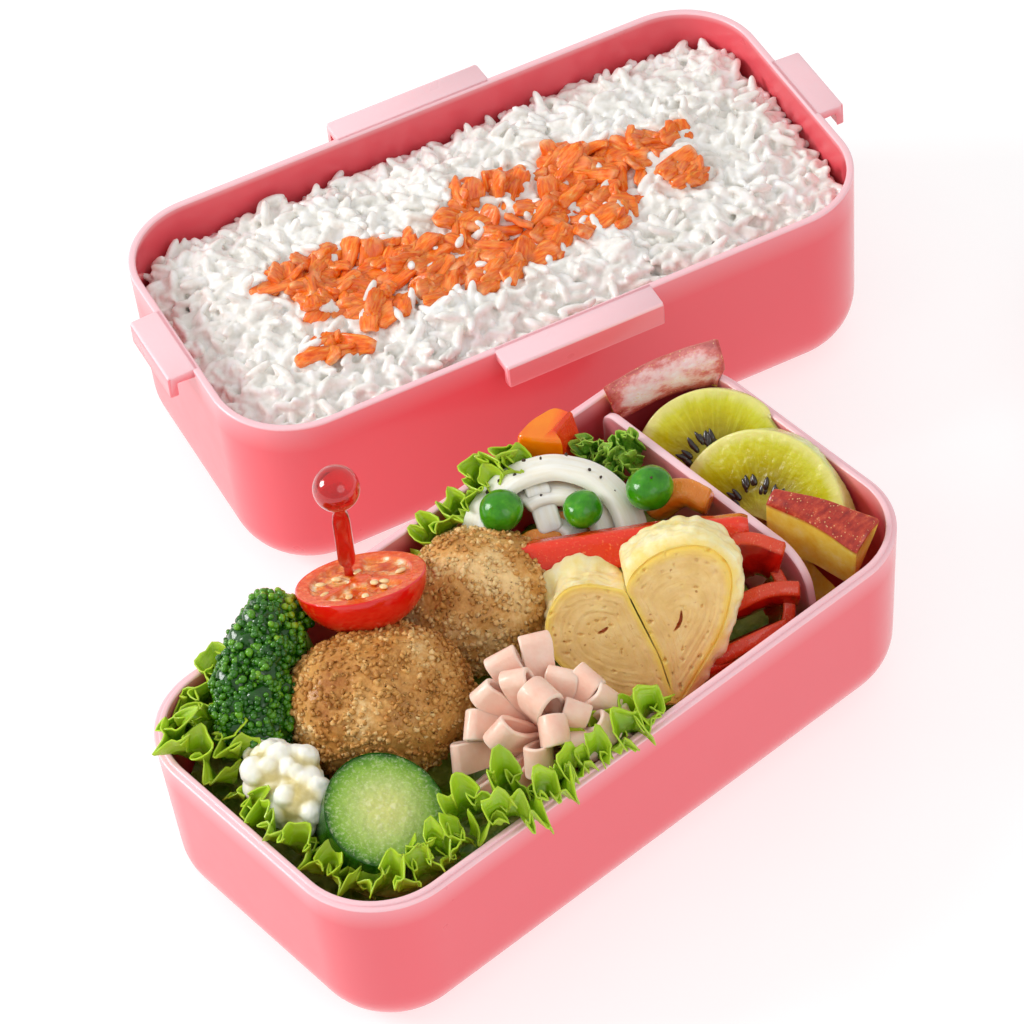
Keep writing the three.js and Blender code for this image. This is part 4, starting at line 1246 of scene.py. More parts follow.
# Each lettuce leaf: its nodes, its seed and its sheets, each as (foot, grow, height, wave, swing, lean).
LETTUCE = (
    ("lettuce_back_left", ["lettuce_left"], 15, (
        (((-73, 32, 37), (-66, 36, 38), (-57, 37, 39), (-47, 37, 40)), (-0.1, 0.12, 1), 13.5, 10, 5.0, 0.05),
        (((-71, 28, 38), (-64, 30, 39), (-56, 31, 40)), (-0.25, -0.1, 1), 12.0, 9, 4.6, -0.15))),
    ("lettuce_left_wall", [], 21, (
        (((-66, 37, 39), (-72, 31, 39), (-73, 23, 39), (-71, 15, 38)), (-0.5, 0.0, 0.9), 13.5, 10, 5.2, -0.15),
        (((-60, 30, 38), (-65, 26, 38), (-67, 20, 38), (-66, 13, 37)), (-0.35, -0.2, 1), 12.5, 9, 4.8, -0.1))),
    ("lettuce_near_left", ["lettuce_corner"], 37, (
        (((-71, 13, 37), (-74, 4, 37), (-73, -7, 37), (-72, -17, 36), (-69, -28, 36)),
         (-0.4, -0.05, 0.9), 12.0, 9, 4.6, -0.1),
        (((-66, -2, 34), (-69, -9, 34), (-69, -18, 34), (-66, -27, 34)), (-0.25, -0.15, 1), 10.0, 8, 4.0, -0.1))),
    ("lettuce_near_corner", [], 45, (
        (((-70, -25, 37), (-66, -31, 37), (-58, -34, 38), (-50, -34, 39)), (-0.15, -0.3, 0.95), 12.0, 8, 4.4, -0.1),
        (((-60, -27, 41), (-56, -31, 42), (-52, -34, 42), (-47, -33, 41)), (-0.1, -0.6, 0.8), 12.0, 7, 4.4, -0.25))),
    ("lettuce_front_edge", ["lettuce_front"], 53, (
        (((-52, -27, 40), (-45, -29, 42), (-37, -31, 42), (-28, -33, 41)), (-0.15, -0.5, 0.9), 14.0, 10, 5.4, -0.2),
        (((-47, -33, 43), (-39, -35, 44), (-31, -36, 44), (-20, -36.5, 43)),
         (-0.05, -0.8, 0.55), 14.5, 9, 5.2, -0.3))),
    ("lettuce_under_ham", [], 66, (
        (((-32, -35, 43), (-22, -36, 43), (-12, -36.5, 43), (-3, -36, 43.5), (6, -35, 43.5)),
         (0.02, -0.8, 0.55), 12.5, 9, 5.0, -0.3),
        (((-24, -31, 40), (-14, -33, 41), (-4, -34, 42), (4, -33, 42.5)), (0.1, -0.5, 0.8), 10.5, 8, 4.2, -0.2))),
    ("lettuce_back_wall", ["lettuce_back"], 77, (
        (((-3, 35, 39), (6, 36, 40), (15, 36, 43), (24, 37, 45), (31, 38, 47)), (-0.25, 0.05, 1), 13.0, 9, 4.8, 0.05),
        (((9, 31, 40), (17, 33, 43), (25, 34, 46), (31, 34, 47)), (-0.3, -0.15, 1), 11.5, 8, 4.4, -0.05))),
)


def make_lettuce():
    look = leaf_look("lettuce_leaf", srgb(176, 196, 90), srgb(84, 130, 4), srgb(136, 176, 10), srgb(176, 206, 44))
    for name, nodes, seed, sheets in LETTUCE:
        leaves(name, [leaf_sheet(foot, grow, height, seed + 9 * k, wave, swing, lean)
                      for k, (foot, grow, height, wave, swing, lean) in enumerate(sheets)], look, nodes)
    steps_x, steps_y = 150, 90
    xs, ys = np.meshgrid(np.linspace(-1, 1, steps_x), np.linspace(-1, 1, steps_y))
    low, high = (np.array(corner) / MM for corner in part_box("lettuce_bed"))
    centre, half = (low + high) / 2, (high - low) / 2 - 0.3
    flat = np.column_stack([xs.ravel() * half[0], ys.ravel() * half[1]])
    radius = CORNER - 5
    far = np.minimum(half[:2] - abs(flat), radius)
    corner = np.hypot(*(radius - far).T) > radius
    shrink = np.where(corner & (flat[:, 0] < 0), radius / np.hypot(*(radius - far).T), 1.0)
    flat = flat * (1 - (1 - shrink)[:, None] * 0.3)
    flat3 = np.column_stack([flat, flat[:, 0] * 0])
    folds = 2.6 * np.abs(noise_at(flat3, 1 / 9, 90)) + 1.2 * np.abs(noise_at(flat3, 1 / 4, 91))
    folds += 0.5 * noise_at(flat3, 1 / 1.6, 92)
    top = np.column_stack([flat + centre[:2], high[2] - 2.4 + folds])
    bottom = np.column_stack([flat * 0.9 + centre[:2], np.full(len(flat), low[2] + 3.0)])
    vertices, faces = closed_slab(top, bottom, steps_y, steps_x)
    piece("lettuce_base_leaves", vertices, faces, look, "lower_tier", "lettuce", ["lettuce_bed"], sharp=None,
          local=vertices, extra={"margin": np.concatenate([folds / 4, folds * 0])})
    red = leaf_look("red_leaf", srgb(186, 110, 50), srgb(146, 58, 22), srgb(112, 36, 18), srgb(160, 84, 40))
    foot = ((-4, 30, 38), (3, 31, 40), (11, 32, 42))
    leaves("lettuce_red_leaf", [leaf_sheet(foot, (-0.2, -0.1, 1), 7.5, 83, 8, 2.4)], red)


def make_parsley():
    look = leaf_look("parsley_leaf", srgb(150, 190, 70), srgb(80, 138, 30), srgb(98, 158, 34), srgb(160, 200, 70),
                     fine=2.4)
    rng = np.random.default_rng(19)
    sheets = []
    for k, (x, y, z, turn) in enumerate(((44, 30, 42, 10), (48, 29, 42, -40), (47, 24, 41, 60), (51, 25, 41, -10),
                                         (50, 20, 40, 40), (45, 25, 42, -60))):
        a = math.radians(turn)
        reach = np.array([math.cos(a), math.sin(a), 0]) * 4.0
        foot = (np.array([x, y, z]) - reach, np.array([x, y, z + 0.6]), np.array([x, y, z]) + reach)
        grow = (rng.uniform(-0.35, 0.1), rng.uniform(-0.35, 0.2), 1)
        sheets.append(leaf_sheet(foot, grow, 9.0, 120 + 10 * k, 3.4, 2.2, rows=24, spacing=0.12))
    leaves("parsley_sprig", sheets, look, ["parsley"], thickness=0.25)


# ---- Broccoli and cauliflower ---------------------------------------------------------------
# Each lump: its middle and its radius.
BROCCOLI_LUMPS = ((-37.5, 36.5, 49, 4.6), (-41.5, 38.0, 52.0, 5.2), (-45.5, 35.5, 53.0, 5.4), (-44, 31, 50, 4.8),
                  (-50, 34.5, 51.5, 5.6), (-48.5, 29.5, 51, 5.0), (-54, 32, 50, 5.4), (-53, 27, 49.5, 5.2),
                  (-58, 29.5, 48.5, 5.6), (-57, 24, 47.5, 5.2), (-61.5, 25.5, 46.5, 5.4), (-60, 20.5, 45.5, 5.0),
                  (-64.5, 22, 44, 5.2), (-62.5, 17.5, 43, 4.6), (-57.5, 19, 44, 4.4), (-52, 22.5, 46, 4.4))
BUDS = 190


def make_broccoli():
    rng = np.random.default_rng(23)
    green = Look("broccoli_buds", roughness=0.22, coat=0.6, subsurface=0.15, radius=(0.4, 1.0, 0.2), scale=0.8)
    # The tone note holds random bud tone, painted light on buds that stand out and painted shade on the core beneath
    # them.
    tone = green.note("tone")
    tone = green.wander(tone, 0.3, green.noise(900, 3.0))
    green.set("Base Color", green.ramp(tone, (0.0, srgb(14, 62, 6)), (0.4, srgb(40, 104, 8)),
                                       (0.7, srgb(98, 162, 20)), (1.0, srgb(186, 204, 44))))
    green.bump(green.noise(2600, 3.0), 0.08, 0.6)
    bud, bud_faces = sphere(7, 5)
    core, core_faces = sphere(40, 26)
    shells = []
    for x, y, z, radius in BROCCOLI_LUMPS:
        surface = core * radius * 0.93
        surface += core * (0.8 * noise_at(surface, 1 / 2.2, 7))[:, None]
        # Painted shade: the core under the buds takes the darkest tone.
        shells.append((surface + (x, y, z), core_faces, np.full(len(core), 0.12)))
        way = random_ways(rng, BUDS)
        way = way[way[:, 2] > -0.55]
        clump = 0.9 * noise_at(way * radius + (x, y, z), 1 / 2.8, 8)
        spots = way * (radius + clump + rng.uniform(-0.4, 0.5, len(way)))[:, None] + (x, y, z)
        size = rng.uniform(0.45, 0.95, len(way))
        vertices, faces = scatter(bud, bud_faces, spots, turns(*rng.uniform(0, 6.3, (3, len(way)))),
                                  np.column_stack([size, size, size * 1.15]))
        warm = np.clip((spots[:, 0] + 44) / 9, 0, 1) * np.clip((spots[:, 2] - 47) / 8, 0, 1)
        # Painted light: buds standing further out are lighter; the rest is random tone with a yellower top right.
        shade = 0.36 + 0.3 * clump + rng.uniform(-0.12, 0.3, len(way)) + 0.45 * warm
        shells.append((vertices, faces, np.repeat(shade, len(bud))))
    vertices, faces, tone = merged(shells)
    piece("broccoli_head", vertices, faces, green.material, "lower_tier", "broccoli", ["broccoli"], sharp=None,
          extra={"tone": tone})
    stalk = Look("broccoli_stalk", roughness=0.35, coat=0.3, subsurface=0.3, radius=(0.7, 1.0, 0.3), scale=1.5)
    along = stalk.local()
    stalk.set("Base Color", stalk.ramp(stalk.noise(0.35, 3.0, 0.5, along), (0.3, srgb(122, 160, 44)),
                                       (0.6, srgb(168, 192, 84)), (0.8, srgb(204, 216, 130))))
    stalk.bump(stalk.noise(1.2, 3.0, 0.6, along), 0.2, 0.5)
    stems = []
    root = np.array([-42, 22, 33.0])
    for x, y, z, radius in BROCCOLI_LUMPS[:9]:
        end = np.array([x, y, z - 1.5])
        middle = root + (end - root) * 0.55 + (0, 0, -2)
        path = smooth_path([root, middle, end], 16)
        widths = np.linspace(4.2, 2.4, 16)[:, None, None] * (1 + 0.08 * np.sin(np.arange(24) * 2.1))[None, :, None]
        section = np.broadcast_to(oval(1, 1, 24), (16, 24, 2)) * widths
        stems.append(swept(section, path, (0.3, 0.5, 0.8)))
    vertices, faces = merged(stems)
    piece("broccoli_stalks", vertices, faces, stalk.material, "lower_tier", "broccoli", ["broccoli"], local=vertices)


CAULIFLOWER_LUMPS = ((-66.5, 8.0, 45.0, 6.6), (-66.5, -2.6, 43.5, 7.0), (-63.0, 3.5, 45.5, 5.8),
                     (-69.5, 3.0, 42.5, 5.6), (-65.0, 12.0, 44.5, 4.8), (-62.5, -6.0, 42.0, 4.8))


def make_cauliflower():
    rng = np.random.default_rng(29)
    look = Look("cauliflower_curd", roughness=0.36, coat=0.25, subsurface=0.4, radius=(1.0, 0.9, 0.6), scale=1.8)
    tone = look.note("tone")
    mixed = look.maths("MULTIPLY_ADD", look.noise(500, 4.0), 0.35, look.maths("SUBTRACT", tone, 0.17))
    look.set("Base Color", look.ramp(mixed, (0.0, srgb(206, 188, 120)), (0.3, srgb(234, 224, 184)),
                                     (0.65, srgb(246, 240, 218)), (1.0, srgb(252, 249, 236))))
    look.bump(look.noise(1800, 4.0, 0.7), 0.12, 0.6)
    blob, blob_faces = sphere(26, 18)
    shells, count = [], 18
    for x, y, z, radius in CAULIFLOWER_LUMPS:
        shells.append((blob * radius * 0.84 + (x, y, z), blob_faces))
        way = random_ways(rng, count)
        size = rng.uniform(0.3, 0.5, count) * radius
        spots = way * radius * 0.7 + (x, y, z)
        shells.append(scatter(blob, blob_faces, spots, turns(*np.zeros((3, count))), np.column_stack([size] * 3)))
    vertices, faces = fused(*merged(shells), 0.32, 5)
    lumps = np.array(CAULIFLOWER_LUMPS)
    # Painted shade: the tone note is lower, so darker and yellower, in dips and crevices that lie nearer the lumps'
    # middles.
    far = np.min([np.linalg.norm(vertices - lump[:3], axis=1) / lump[3] for lump in lumps], axis=0)
    swell = noises_at(vertices, 1 / 1.2, 14, 15, 16) + 2.4 * noises_at(vertices, 1 / 3.0, 24, 25, 26)
    piece("cauliflower_head", vertices + 0.16 * swell, faces, look.material, "lower_tier", "cauliflower",
          ["cauliflower"], sharp=None, extra={"tone": np.clip((far - 0.82) / 0.24, 0, 1)})


# ---- Ham flower -----------------------------------------------------------------------------
HAM_CENTRE = (-14.5, -23.0, 38.5)
# Each petal: how far its tip stands right of and above the flower's middle, its reach forwards,
# its twist in degrees (0 shows its flat side, 90 its open loop), and its loop's radius.
HAM_PETALS = (
    (-11.5, 18.5, 6, 12, 1.5), (-4.0, 22.5, 5, -8, 1.6), (-15.5, 11.0, 9, 24, 1.7), (8.5, 14.5, 9, 22, 1.6),
    (-3.0, 11.0, 16, 60, 3.1), (16.5, 5.5, 8, -18, 1.5), (22.5, 3.5, 4, 14, 1.2), (-21.0, -4.0, 7, 10, 1.4),
    (-12.0, 2.0, 15, 40, 2.4), (-3.5, -4.5, 17, 48, 2.4), (7.5, -1.5, 16, 66, 3.2), (16.0, -2.0, 11, 50, 2.6),
    (-15.5, -12.5, 6, 24, 1.5), (-8.5, -10.5, 10, 34, 2.0), (3.0, -10.5, 10, 46, 2.2), (11.5, -8.5, 8, 30, 2.0),
    (2.5, 15.0, 8, 8, 1.4), (5.5, 7.0, 15, -20, 2.2), (12.5, 10.5, 10, -30, 1.8), (20.5, -1.5, 7, 30, 1.5),
    (-8.5, 14.5, 12, 30, 2.0), (-18.0, 3.5, 9, -15, 1.5), (0.5, 3.0, 18, 72, 2.6), (12.5, 3.5, 14, -42, 2.3))


def make_ham():
    look = Look("sliced_ham", roughness=0.36, coat=0.25, subsurface=0.35, radius=(1.0, 0.55, 0.45), scale=1.6)
    place = look.local()
    tone = look.ramp(look.noise(0.16, 4.0, 0.6, place), (0.25, srgb(238, 166, 138)), (0.5, srgb(247, 194, 170)),
                     (0.75, srgb(253, 218, 200)))
    rim = look.note("rim")
    inner = look.note("inner")
    tone = look.mix(look.maths("MULTIPLY", rim, 0.55), tone, srgb(254, 236, 222))
    # Painted shade: petals darker and redder towards the flower's middle, where they crowd together.
    look.set("Base Color", look.mix(look.maths("MULTIPLY", inner, 0.55), tone, srgb(222, 128, 100)))
    look.bump(look.noise(1.3, 4.0, 0.65, place), 0.2, 0.5)
    axes = frame_axes((-0.41, -0.55, 0.73), (0.75, -0.66, -0.08))
    rng = np.random.default_rng(41)
    petals = []
    for k, (across, up, forward, twist, loop) in enumerate(HAM_PETALS):
        tip = np.array([across, up, forward], float)
        length = np.linalg.norm(tip)
        way = tip / length
        side = unit(np.cross(way, (0, 0, 1)) + (1e-6, 0, 0))
        front = np.cross(side, way)
        a = math.radians(twist)
        wide = math.cos(a) * side + math.sin(a) * front
        thick = np.cross(way, wide)
        arm = length - loop
        bend = [(0.15 * loop, 2.0), (0.55 * loop, arm * 0.5), (loop, arm * 0.85)]
        bend += [(loop * math.cos(t), arm + loop * math.sin(t)) for t in np.linspace(0, math.pi, 7)]
        bend += [(-loop, arm * 0.85), (-0.55 * loop, arm * 0.5), (-0.15 * loop, 2.0)]
        curve = smooth_path([thick * x + way * y for x, y in bend], 60)
        width = rng.uniform(3.0, 3.7)
        section = rounded_section(width, 0.65, 0.5, 3)
        reach = np.clip(curve @ way / length, 0, 1)
        wobble = (0.62 + 0.38 * reach) * (1 + 0.1 * noise_at(curve, 1 / 5, 50 + k))
        sections = np.array([section * (w, 1) for w in wobble])
        vertices, faces = swept(sections, curve, wide)
        vertices += 0.3 * noises_at(vertices, 1 / 4.5, 60 + k, 61 + k, 62 + k)
        rim = np.tile(np.clip((abs(section[:, 0]) - width + 0.8) / 0.6, 0, 1), len(curve))
        # Painted shade towards the middle of the flower.
        inner = np.clip(1 - vertices @ way / (0.72 * length), 0, 1)
        petals.append((vertices, faces, vertices + 9.0 * k, rim, inner))
    vertices, faces, local, rim, inner = merged(petals)
    piece("ham_petals", vertices @ axes.T + HAM_CENTRE, faces, look.material, "lower_tier", "ham", ["ham_flower"],
          local=local, extra={"rim": rim, "inner": inner}, sharp=50)


# ---- Peppers, onion and peas ----------------------------------------------------------------
def pepper_look(name, deep, skin, flesh, pale):
    """A cut pepper: glossy skin, and granular wet flesh where the `cut` attribute is 1; the flesh's pale flecks are
    partly its grain and partly painted wet glints.
    """
    look = Look(name, roughness=0.16, coat=0.7, subsurface=0.35, radius=(1.0, 0.3, 0.1), scale=2.2)
    place = look.local()
    cut = look.note("cut")
    outside = look.ramp(look.noise(0.1, 3.0, 0.5, place), (0.3, deep), (0.65, skin))
    grains = look.noise(1.5, 3.0, 0.6, place)
    # The pale stop: partly the flesh's grain, partly painted wet glints.
    inside = look.ramp(grains, (0.35, flesh), (0.6, flesh), (0.74, pale))
    look.set("Base Color", look.mix(cut, outside, inside))
    look.set("Roughness", look.maths("MULTIPLY_ADD", cut, 0.2, 0.12))
    height = look.maths("MULTIPLY", grains, look.maths("MULTIPLY_ADD", cut, 0.9, 0.1))
    look.bump(height, 0.45, 0.7)
    return look.material


def slab(path, wide, thick, sides, seed, cup=0.0, bite=0.5):
    """A cut strip along a path: (vertices, faces, local, cut). `cup` curls its section like the pod's wall."""
    path = np.asarray(path, float)
    section = rounded_section(wide / 2, thick / 2, min(wide, thick) * 0.28, 6)
    dense = []
    for a, b in zip(section, np.roll(section, -1, axis=0)):
        steps = max(1, int(np.linalg.norm(b - a) / 0.5))
        dense += [a + (b - a) * k / steps for k in range(steps)]
    section = np.array(dense)
    curled = section + np.column_stack([section[:, 0] * 0, -cup * section[:, 0] ** 2 / (wide / 2) ** 2])
    vertices, faces = swept(curled * eased_ends(len(path), 0.86, 0.94, 0.98), path, sides)
    local = np.column_stack([np.repeat(np.linspace(0, 50, len(path)), len(section)),
                             np.tile(section, (len(path), 1))])
    rough = 0.35 * noise_at(vertices, 1 / 5, seed) + 0.12 * noise_at(vertices, 1 / 1.2, seed + 1)
    cut = np.clip((abs(local[:, 1]) - wide / 2 + 0.9) / 0.5, 0, 1)
    middle = np.repeat(path, len(section), axis=0)
    push = vertices - middle
    push /= np.maximum(np.linalg.norm(push, axis=1), 1e-6)[:, None]
    return vertices + push * (rough * bite)[:, None], faces, local + seed, cut


def cut_strips(name, material, node, group, seed, step, cup, bite, strips):
    """Several cut strips as one piece; each strip is (points, wide, thick, sides)."""
    shells = []
    for k, (points, wide, thick, sides) in enumerate(strips):
        shells.append(slab(smooth_path(points, 40), wide, thick, sides, seed + step * k, cup, bite))
    vertices, faces, local, cut = merged(shells)
    piece(name, vertices, faces, material, "lower_tier", group, [node], local=local, extra={"cut": cut}, sharp=50)


def make_peppers():
    red = pepper_look("red_pepper", srgb(176, 18, 10), srgb(222, 34, 12), srgb(232, 50, 6), srgb(248, 130, 74))
    path = smooth_path([(10.4, 16.2, 45.2), (22, 6.5, 47.2), (36, -4.5, 48.6), (50.6, -16.4, 49.2)], 90)
    vertices, faces, local, _ = slab(path, 8.6, 6.4, (-0.45, -0.35, -0.82), 71)
    front = np.clip(1 - (local[:, 2] - 71 + 1.6) / 1.0, 0, 1)
    piece("pepper_strip_cut", vertices, faces, red, "lower_tier", "red_pepper", ["pepper_strip"], local=local,
          extra={"cut": front}, sharp=50)
    dark = pepper_look("red_pepper_chunks", srgb(128, 12, 8), srgb(196, 24, 12), srgb(226, 70, 30),
                       srgb(250, 170, 120))
    cut_strips("pepper_chunks_cut", dark, "pepper_chunk", "red_pepper", 130, 7, 1.4, 0.5, (
            (((42, -14, 42), (47.5, -19.5, 45.5), (51.5, -25, 44)), 13, 3.2, (-0.3, 0.2, 0.9)),
            (((40, -22, 35), (46.0, -27.0, 39), (51.0, -31, 38.5)), 14, 3.4, (-0.2, -0.5, 0.8)),
            (((29, -26, 30), (36.5, -30.5, 33.5), (45, -33.0, 34)), 13, 3.6, (-0.2, -0.6, 0.75)),
            (((45, -32, 30), (49.0, -29, 35), (51.5, -22, 38)), 12, 3.0, (0.1, -0.3, 0.9)),
            (((20, -24, 27), (28, -28, 29), (37, -31, 29)), 13, 4.0, (0.0, -0.4, 0.9))))
    make_orange_wedge()
    warm = pepper_look("orange_pepper_bits", srgb(232, 104, 10), srgb(246, 138, 30), srgb(248, 150, 50),
                       srgb(254, 206, 140))
    cut_strips("orange_pepper_bits", warm, "orange_chunk", "orange_pepper", 180, 5, 1.0, 1.1, (
            (((44.5, 8.5, 42), (49.5, 4.0, 47.0), (52.0, -1.5, 46.0)), 8.5, 5.4, (-0.5, -0.2, 0.8)),
            (((14, 21, 41), (18.5, 19, 43.5), (23, 15.5, 43)), 6, 3, (-0.3, -0.2, 0.9)),
            (((22, 21, 42), (27.5, 17.5, 44.2), (32, 12.5, 43.4)), 6, 3, (-0.3, -0.3, 0.9))))


def make_orange_wedge():
    two = pepper_look("orange_red_wedge", srgb(236, 112, 0), srgb(246, 136, 8), srgb(250, 66, 12), srgb(255, 116, 50))
    outline = dense_outline(((30.5, 39.2), (31.6, 36.0), (36.0, 30.4), (37.2, 30.0), (43.8, 31.6), (45.2, 33.2),
                             (43.0, 39.6), (36.0, 40.6)), 0.5)
    foot, top, levels = 36, 53.5, 40
    middle, rings = outline.mean(0), []
    for k, z in enumerate(np.linspace(foot, top, levels)):
        shrink = 1 - 0.10 * ((z - 44) / 9.5) ** 2 - 0.06 * (k in (0, levels - 1)) - 0.02 * (k in (1, levels - 2))
        rings.append(np.column_stack([middle + (outline - middle) * shrink + ((z - 44) * 0.10, (z - 44) * 0.06),
                                      np.full(len(outline), z)]))
    vertices, faces = np.vstack(rings), tube_faces(levels, len(outline))
    turned = np.tile(outline, (levels, 1))
    right = np.clip((turned[:, 0] - 36.9) / 0.5, 0, 1)
    red_side = right * np.clip((39.5 - turned[:, 1]) / 1.5, 0, 1)
    vertices[:, 1] += 0.2 * (vertices[:, 2] - foot) * right * np.clip((36 - turned[:, 1]) / 4, 0, 1)
    vertices[:, :2] += 0.25 * noises_at(vertices, 1 / 4, 5, 6)
    piece("orange_pepper_wedge", vertices, faces, two, "lower_tier", "orange_pepper", ["orange_pepper"],
          local=vertices, extra={"cut": red_side}, sharp=50)


ONION_CENTRE = (21.3, 16.0, 42.0)
# Each layer: its radius, its start and end in degrees, its width, its thickness and its height.
ONION_ARCS = ((17.9, -6, 172, 8.0, 2.6, 4.0), (12.0, 2, 126, 7.0, 2.4, 2.8), (5.8, 0, 110, 7.0, 2.2, 1.4))
# Ground pepper on the outer layer: degrees along it, height.
SPECKS = ((38, 4.9), (62, 5.3), (80, 5.6), (97, 5.4), (118, 5.0), (129, 4.6), (140, 4.2), (52, 5.4), (108, 5.6))


def make_onion():
    look = Look("onion_layer", roughness=0.25, coat=0.5, subsurface=0.45, radius=(1.0, 0.92, 0.75), scale=2.5)
    place = look.local()
    grain = look.noise(1.0, 4.0, 0.6, look.stretched(place, (0.08, 0.9, 0.6)))
    tone = look.ramp(grain, (0.25, srgb(242, 232, 210)), (0.5, srgb(250, 244, 230)), (0.8, srgb(254, 252, 244)))
    edge = look.note("cut")
    tone = look.mix(look.maths("MULTIPLY", edge, 0.35), tone, srgb(224, 204, 164))
    look.set("Base Color", tone)
    look.bump(grain, 0.12, 0.5)
    axes = frame_axes((-0.2, -0.3, 0.93), (0.76, -0.65, 0))
    shells, steps, ease = [], 110, (0.7, 0.88, 0.96)
    for k, (radius, start, end, wide, thick, lift) in enumerate(ONION_ARCS):
        angles = np.radians(np.linspace(start, end, steps))
        path = np.column_stack([radius * np.cos(angles), radius * np.sin(angles), np.full(steps, lift)])
        path[:, 2] += 1.2 * np.sin(angles)
        section = rounded_section(wide / 2, thick / 2, thick * 0.42, 5)
        bowed = section + np.column_stack([section[:, 0] * 0, 0.07 * section[:, 0] ** 2])
        sides = np.column_stack([np.cos(angles) * 0.85, np.sin(angles) * 0.85, np.full(steps, -0.5)])
        vertices, faces = swept(bowed * eased_ends(steps, *ease), path, sides)
        vertices += 0.2 * noises_at(vertices, 1 / 6, 200 + k, 201 + k, 202 + k)
        local = np.column_stack([np.repeat(np.degrees(angles) * radius / 57, len(section)),
                                 np.tile(section, (steps, 1))]) + 5 * k
        cut = np.tile(np.clip((abs(section[:, 0]) - wide / 2 + 0.35) / 0.3, 0, 1), steps) * (k > 0)
        shells.append((vertices @ axes.T + ONION_CENTRE, faces, local, cut))
    steps = 50
    path = smooth_path([(27.0, 29.2, 49.2), (25.4, 25.6, 50.4), (23.6, 21.5, 48.6), (21.6, 17.0, 46.2)], steps)
    section = rounded_section(2.9, 1.0, 0.8, 5)
    vertices, faces = swept(section * eased_ends(steps, *ease), path, (0.76, -0.65, 0))
    local = np.column_stack([np.repeat(np.linspace(0, 20, steps), len(section)), np.tile(section, (steps, 1))]) + 31
    shells.append((vertices, faces, local, np.zeros(len(vertices))))
    vertices, faces, local, cut = merged(shells)
    piece("onion_layers", vertices, faces, look.material, "lower_tier", "onion", ["onion_slice"],
          local=local, extra={"cut": cut}, sharp=50)
    pepper = Look("cracked_pepper", roughness=0.6)
    pepper.set("Base Color", pepper.ramp(pepper.noise(2500, 2.0), (0.3, srgb(24, 16, 12)), (0.7, srgb(86, 60, 40))))
    pepper.bump(pepper.noise(4000, 2.0), 0.1, 0.6)
    rng = np.random.default_rng(3)
    corn, corn_faces = sphere(7, 5)
    spots = []
    for along, up in SPECKS:
        a = math.radians(along)
        out = 19.0 + rng.uniform(-1.8, 1.6)
        spots.append(axes @ (out * math.cos(a), out * math.sin(a), up + 1.2 * math.sin(a)) + ONION_CENTRE)
    spots += [np.array((24.6, 23.4, 50.9)), np.array((41.2, 4.6, 58.3)), np.array((51.2, 2.2, 50.9))]
    size = rng.uniform(0.25, 0.55, (len(spots), 1)) * rng.uniform(0.7, 1.2, (len(spots), 3))
    vertices, faces = scatter(corn, corn_faces, np.array(spots), turns(*rng.uniform(0, 6.3, (3, len(spots)))), size)
    vertices += 0.06 * rng.normal(0, 1, vertices.shape)
    piece("pepper_specks", vertices, faces, pepper.material, "lower_tier", "onion", sharp=None)


PEAS = (("pea_left", (15.3, 26.3, 51.0), 5.1, 3), ("pea_middle", (28.3, 13.6, 51.0), 4.6, 5),
        ("pea_right", (42.0, 6.4, 53.0), 5.4, 7))


def make_peas():
    look = Look("garden_pea", roughness=0.2, coat=0.4, subsurface=0.3, radius=(0.3, 1.0, 0.15), scale=2.0)
    tone = look.noise(240, 4.0, 0.6)
    look.set("Base Color", look.ramp(tone, (0.3, srgb(36, 112, 2)), (0.55, srgb(60, 144, 6)),
                                     (0.78, srgb(106, 178, 26))))
    look.bump(look.noise(700, 4.0, 0.6), 0.14, 0.6)
    for name, centre, radius, seed in PEAS:
        points, faces = sphere(90, 60)
        points = points * radius * (1.0, 0.95, 0.92)
        wrinkle = 0.22 * noise_at(points, 1 / 4, seed) + 0.06 * noise_at(points, 1 / 1.2, seed + 1)
        off = points - np.array([-0.3, 0.2, 0.9]) * radius
        dent = 0.7 * np.exp(-np.sum(off ** 2, 1) / 1.6 ** 2) * (name != "pea_left")
        points *= (1 + (wrinkle - dent) / radius)[:, None]
        piece(name + "_round", points + centre, faces, look.material, "lower_tier", "pea", [name], sharp=None)


# ---- Kiwi and apple -------------------------------------------------------------------------


def kiwi_look():
    look = Look("kiwi_slice", roughness=0.24, coat=0.25, subsurface=0.35, radius=(0.7, 1.0, 0.2), scale=2.5)
    place = look.local()
    rays = look.noise(1.6, 3.0, 0.6, look.polar(place, 6.5, 0.07)[1])
    reach = look.note("reach")
    wander = look.maths("ADD", reach, look.maths("MULTIPLY_ADD", rays, 0.2, -0.1))
    flesh = look.ramp(wander, (0.0, srgb(224, 218, 120)), (0.2, srgb(196, 192, 60)), (0.34, srgb(134, 118, 0)),
                      (0.52, srgb(164, 150, 0)), (0.7, srgb(194, 186, 4)), (0.82, srgb(206, 204, 48)),
                      (0.9, srgb(224, 220, 124)), (1.0, srgb(232, 226, 150)))
    pale_ray = look.ramp(rays, (0.52, BLACK), (0.75, (0.32, 0.32, 0.32, 1)))
    flesh = look.mix(pale_ray, flesh, srgb(214, 214, 84))
    side = look.note("side")
    peel = look.ramp(look.noise(0.3, 4.0, 0.6, place), (0.3, srgb(206, 210, 110)), (0.6, srgb(230, 230, 160)),
                     (0.8, srgb(242, 238, 190)))
    look.set("Base Color", look.mix(side, flesh, peel))
    look.bump(look.maths("ADD", rays, look.noise(1.2, 4.0, 0.6, place)), 0.3, 0.5)
    return look.material


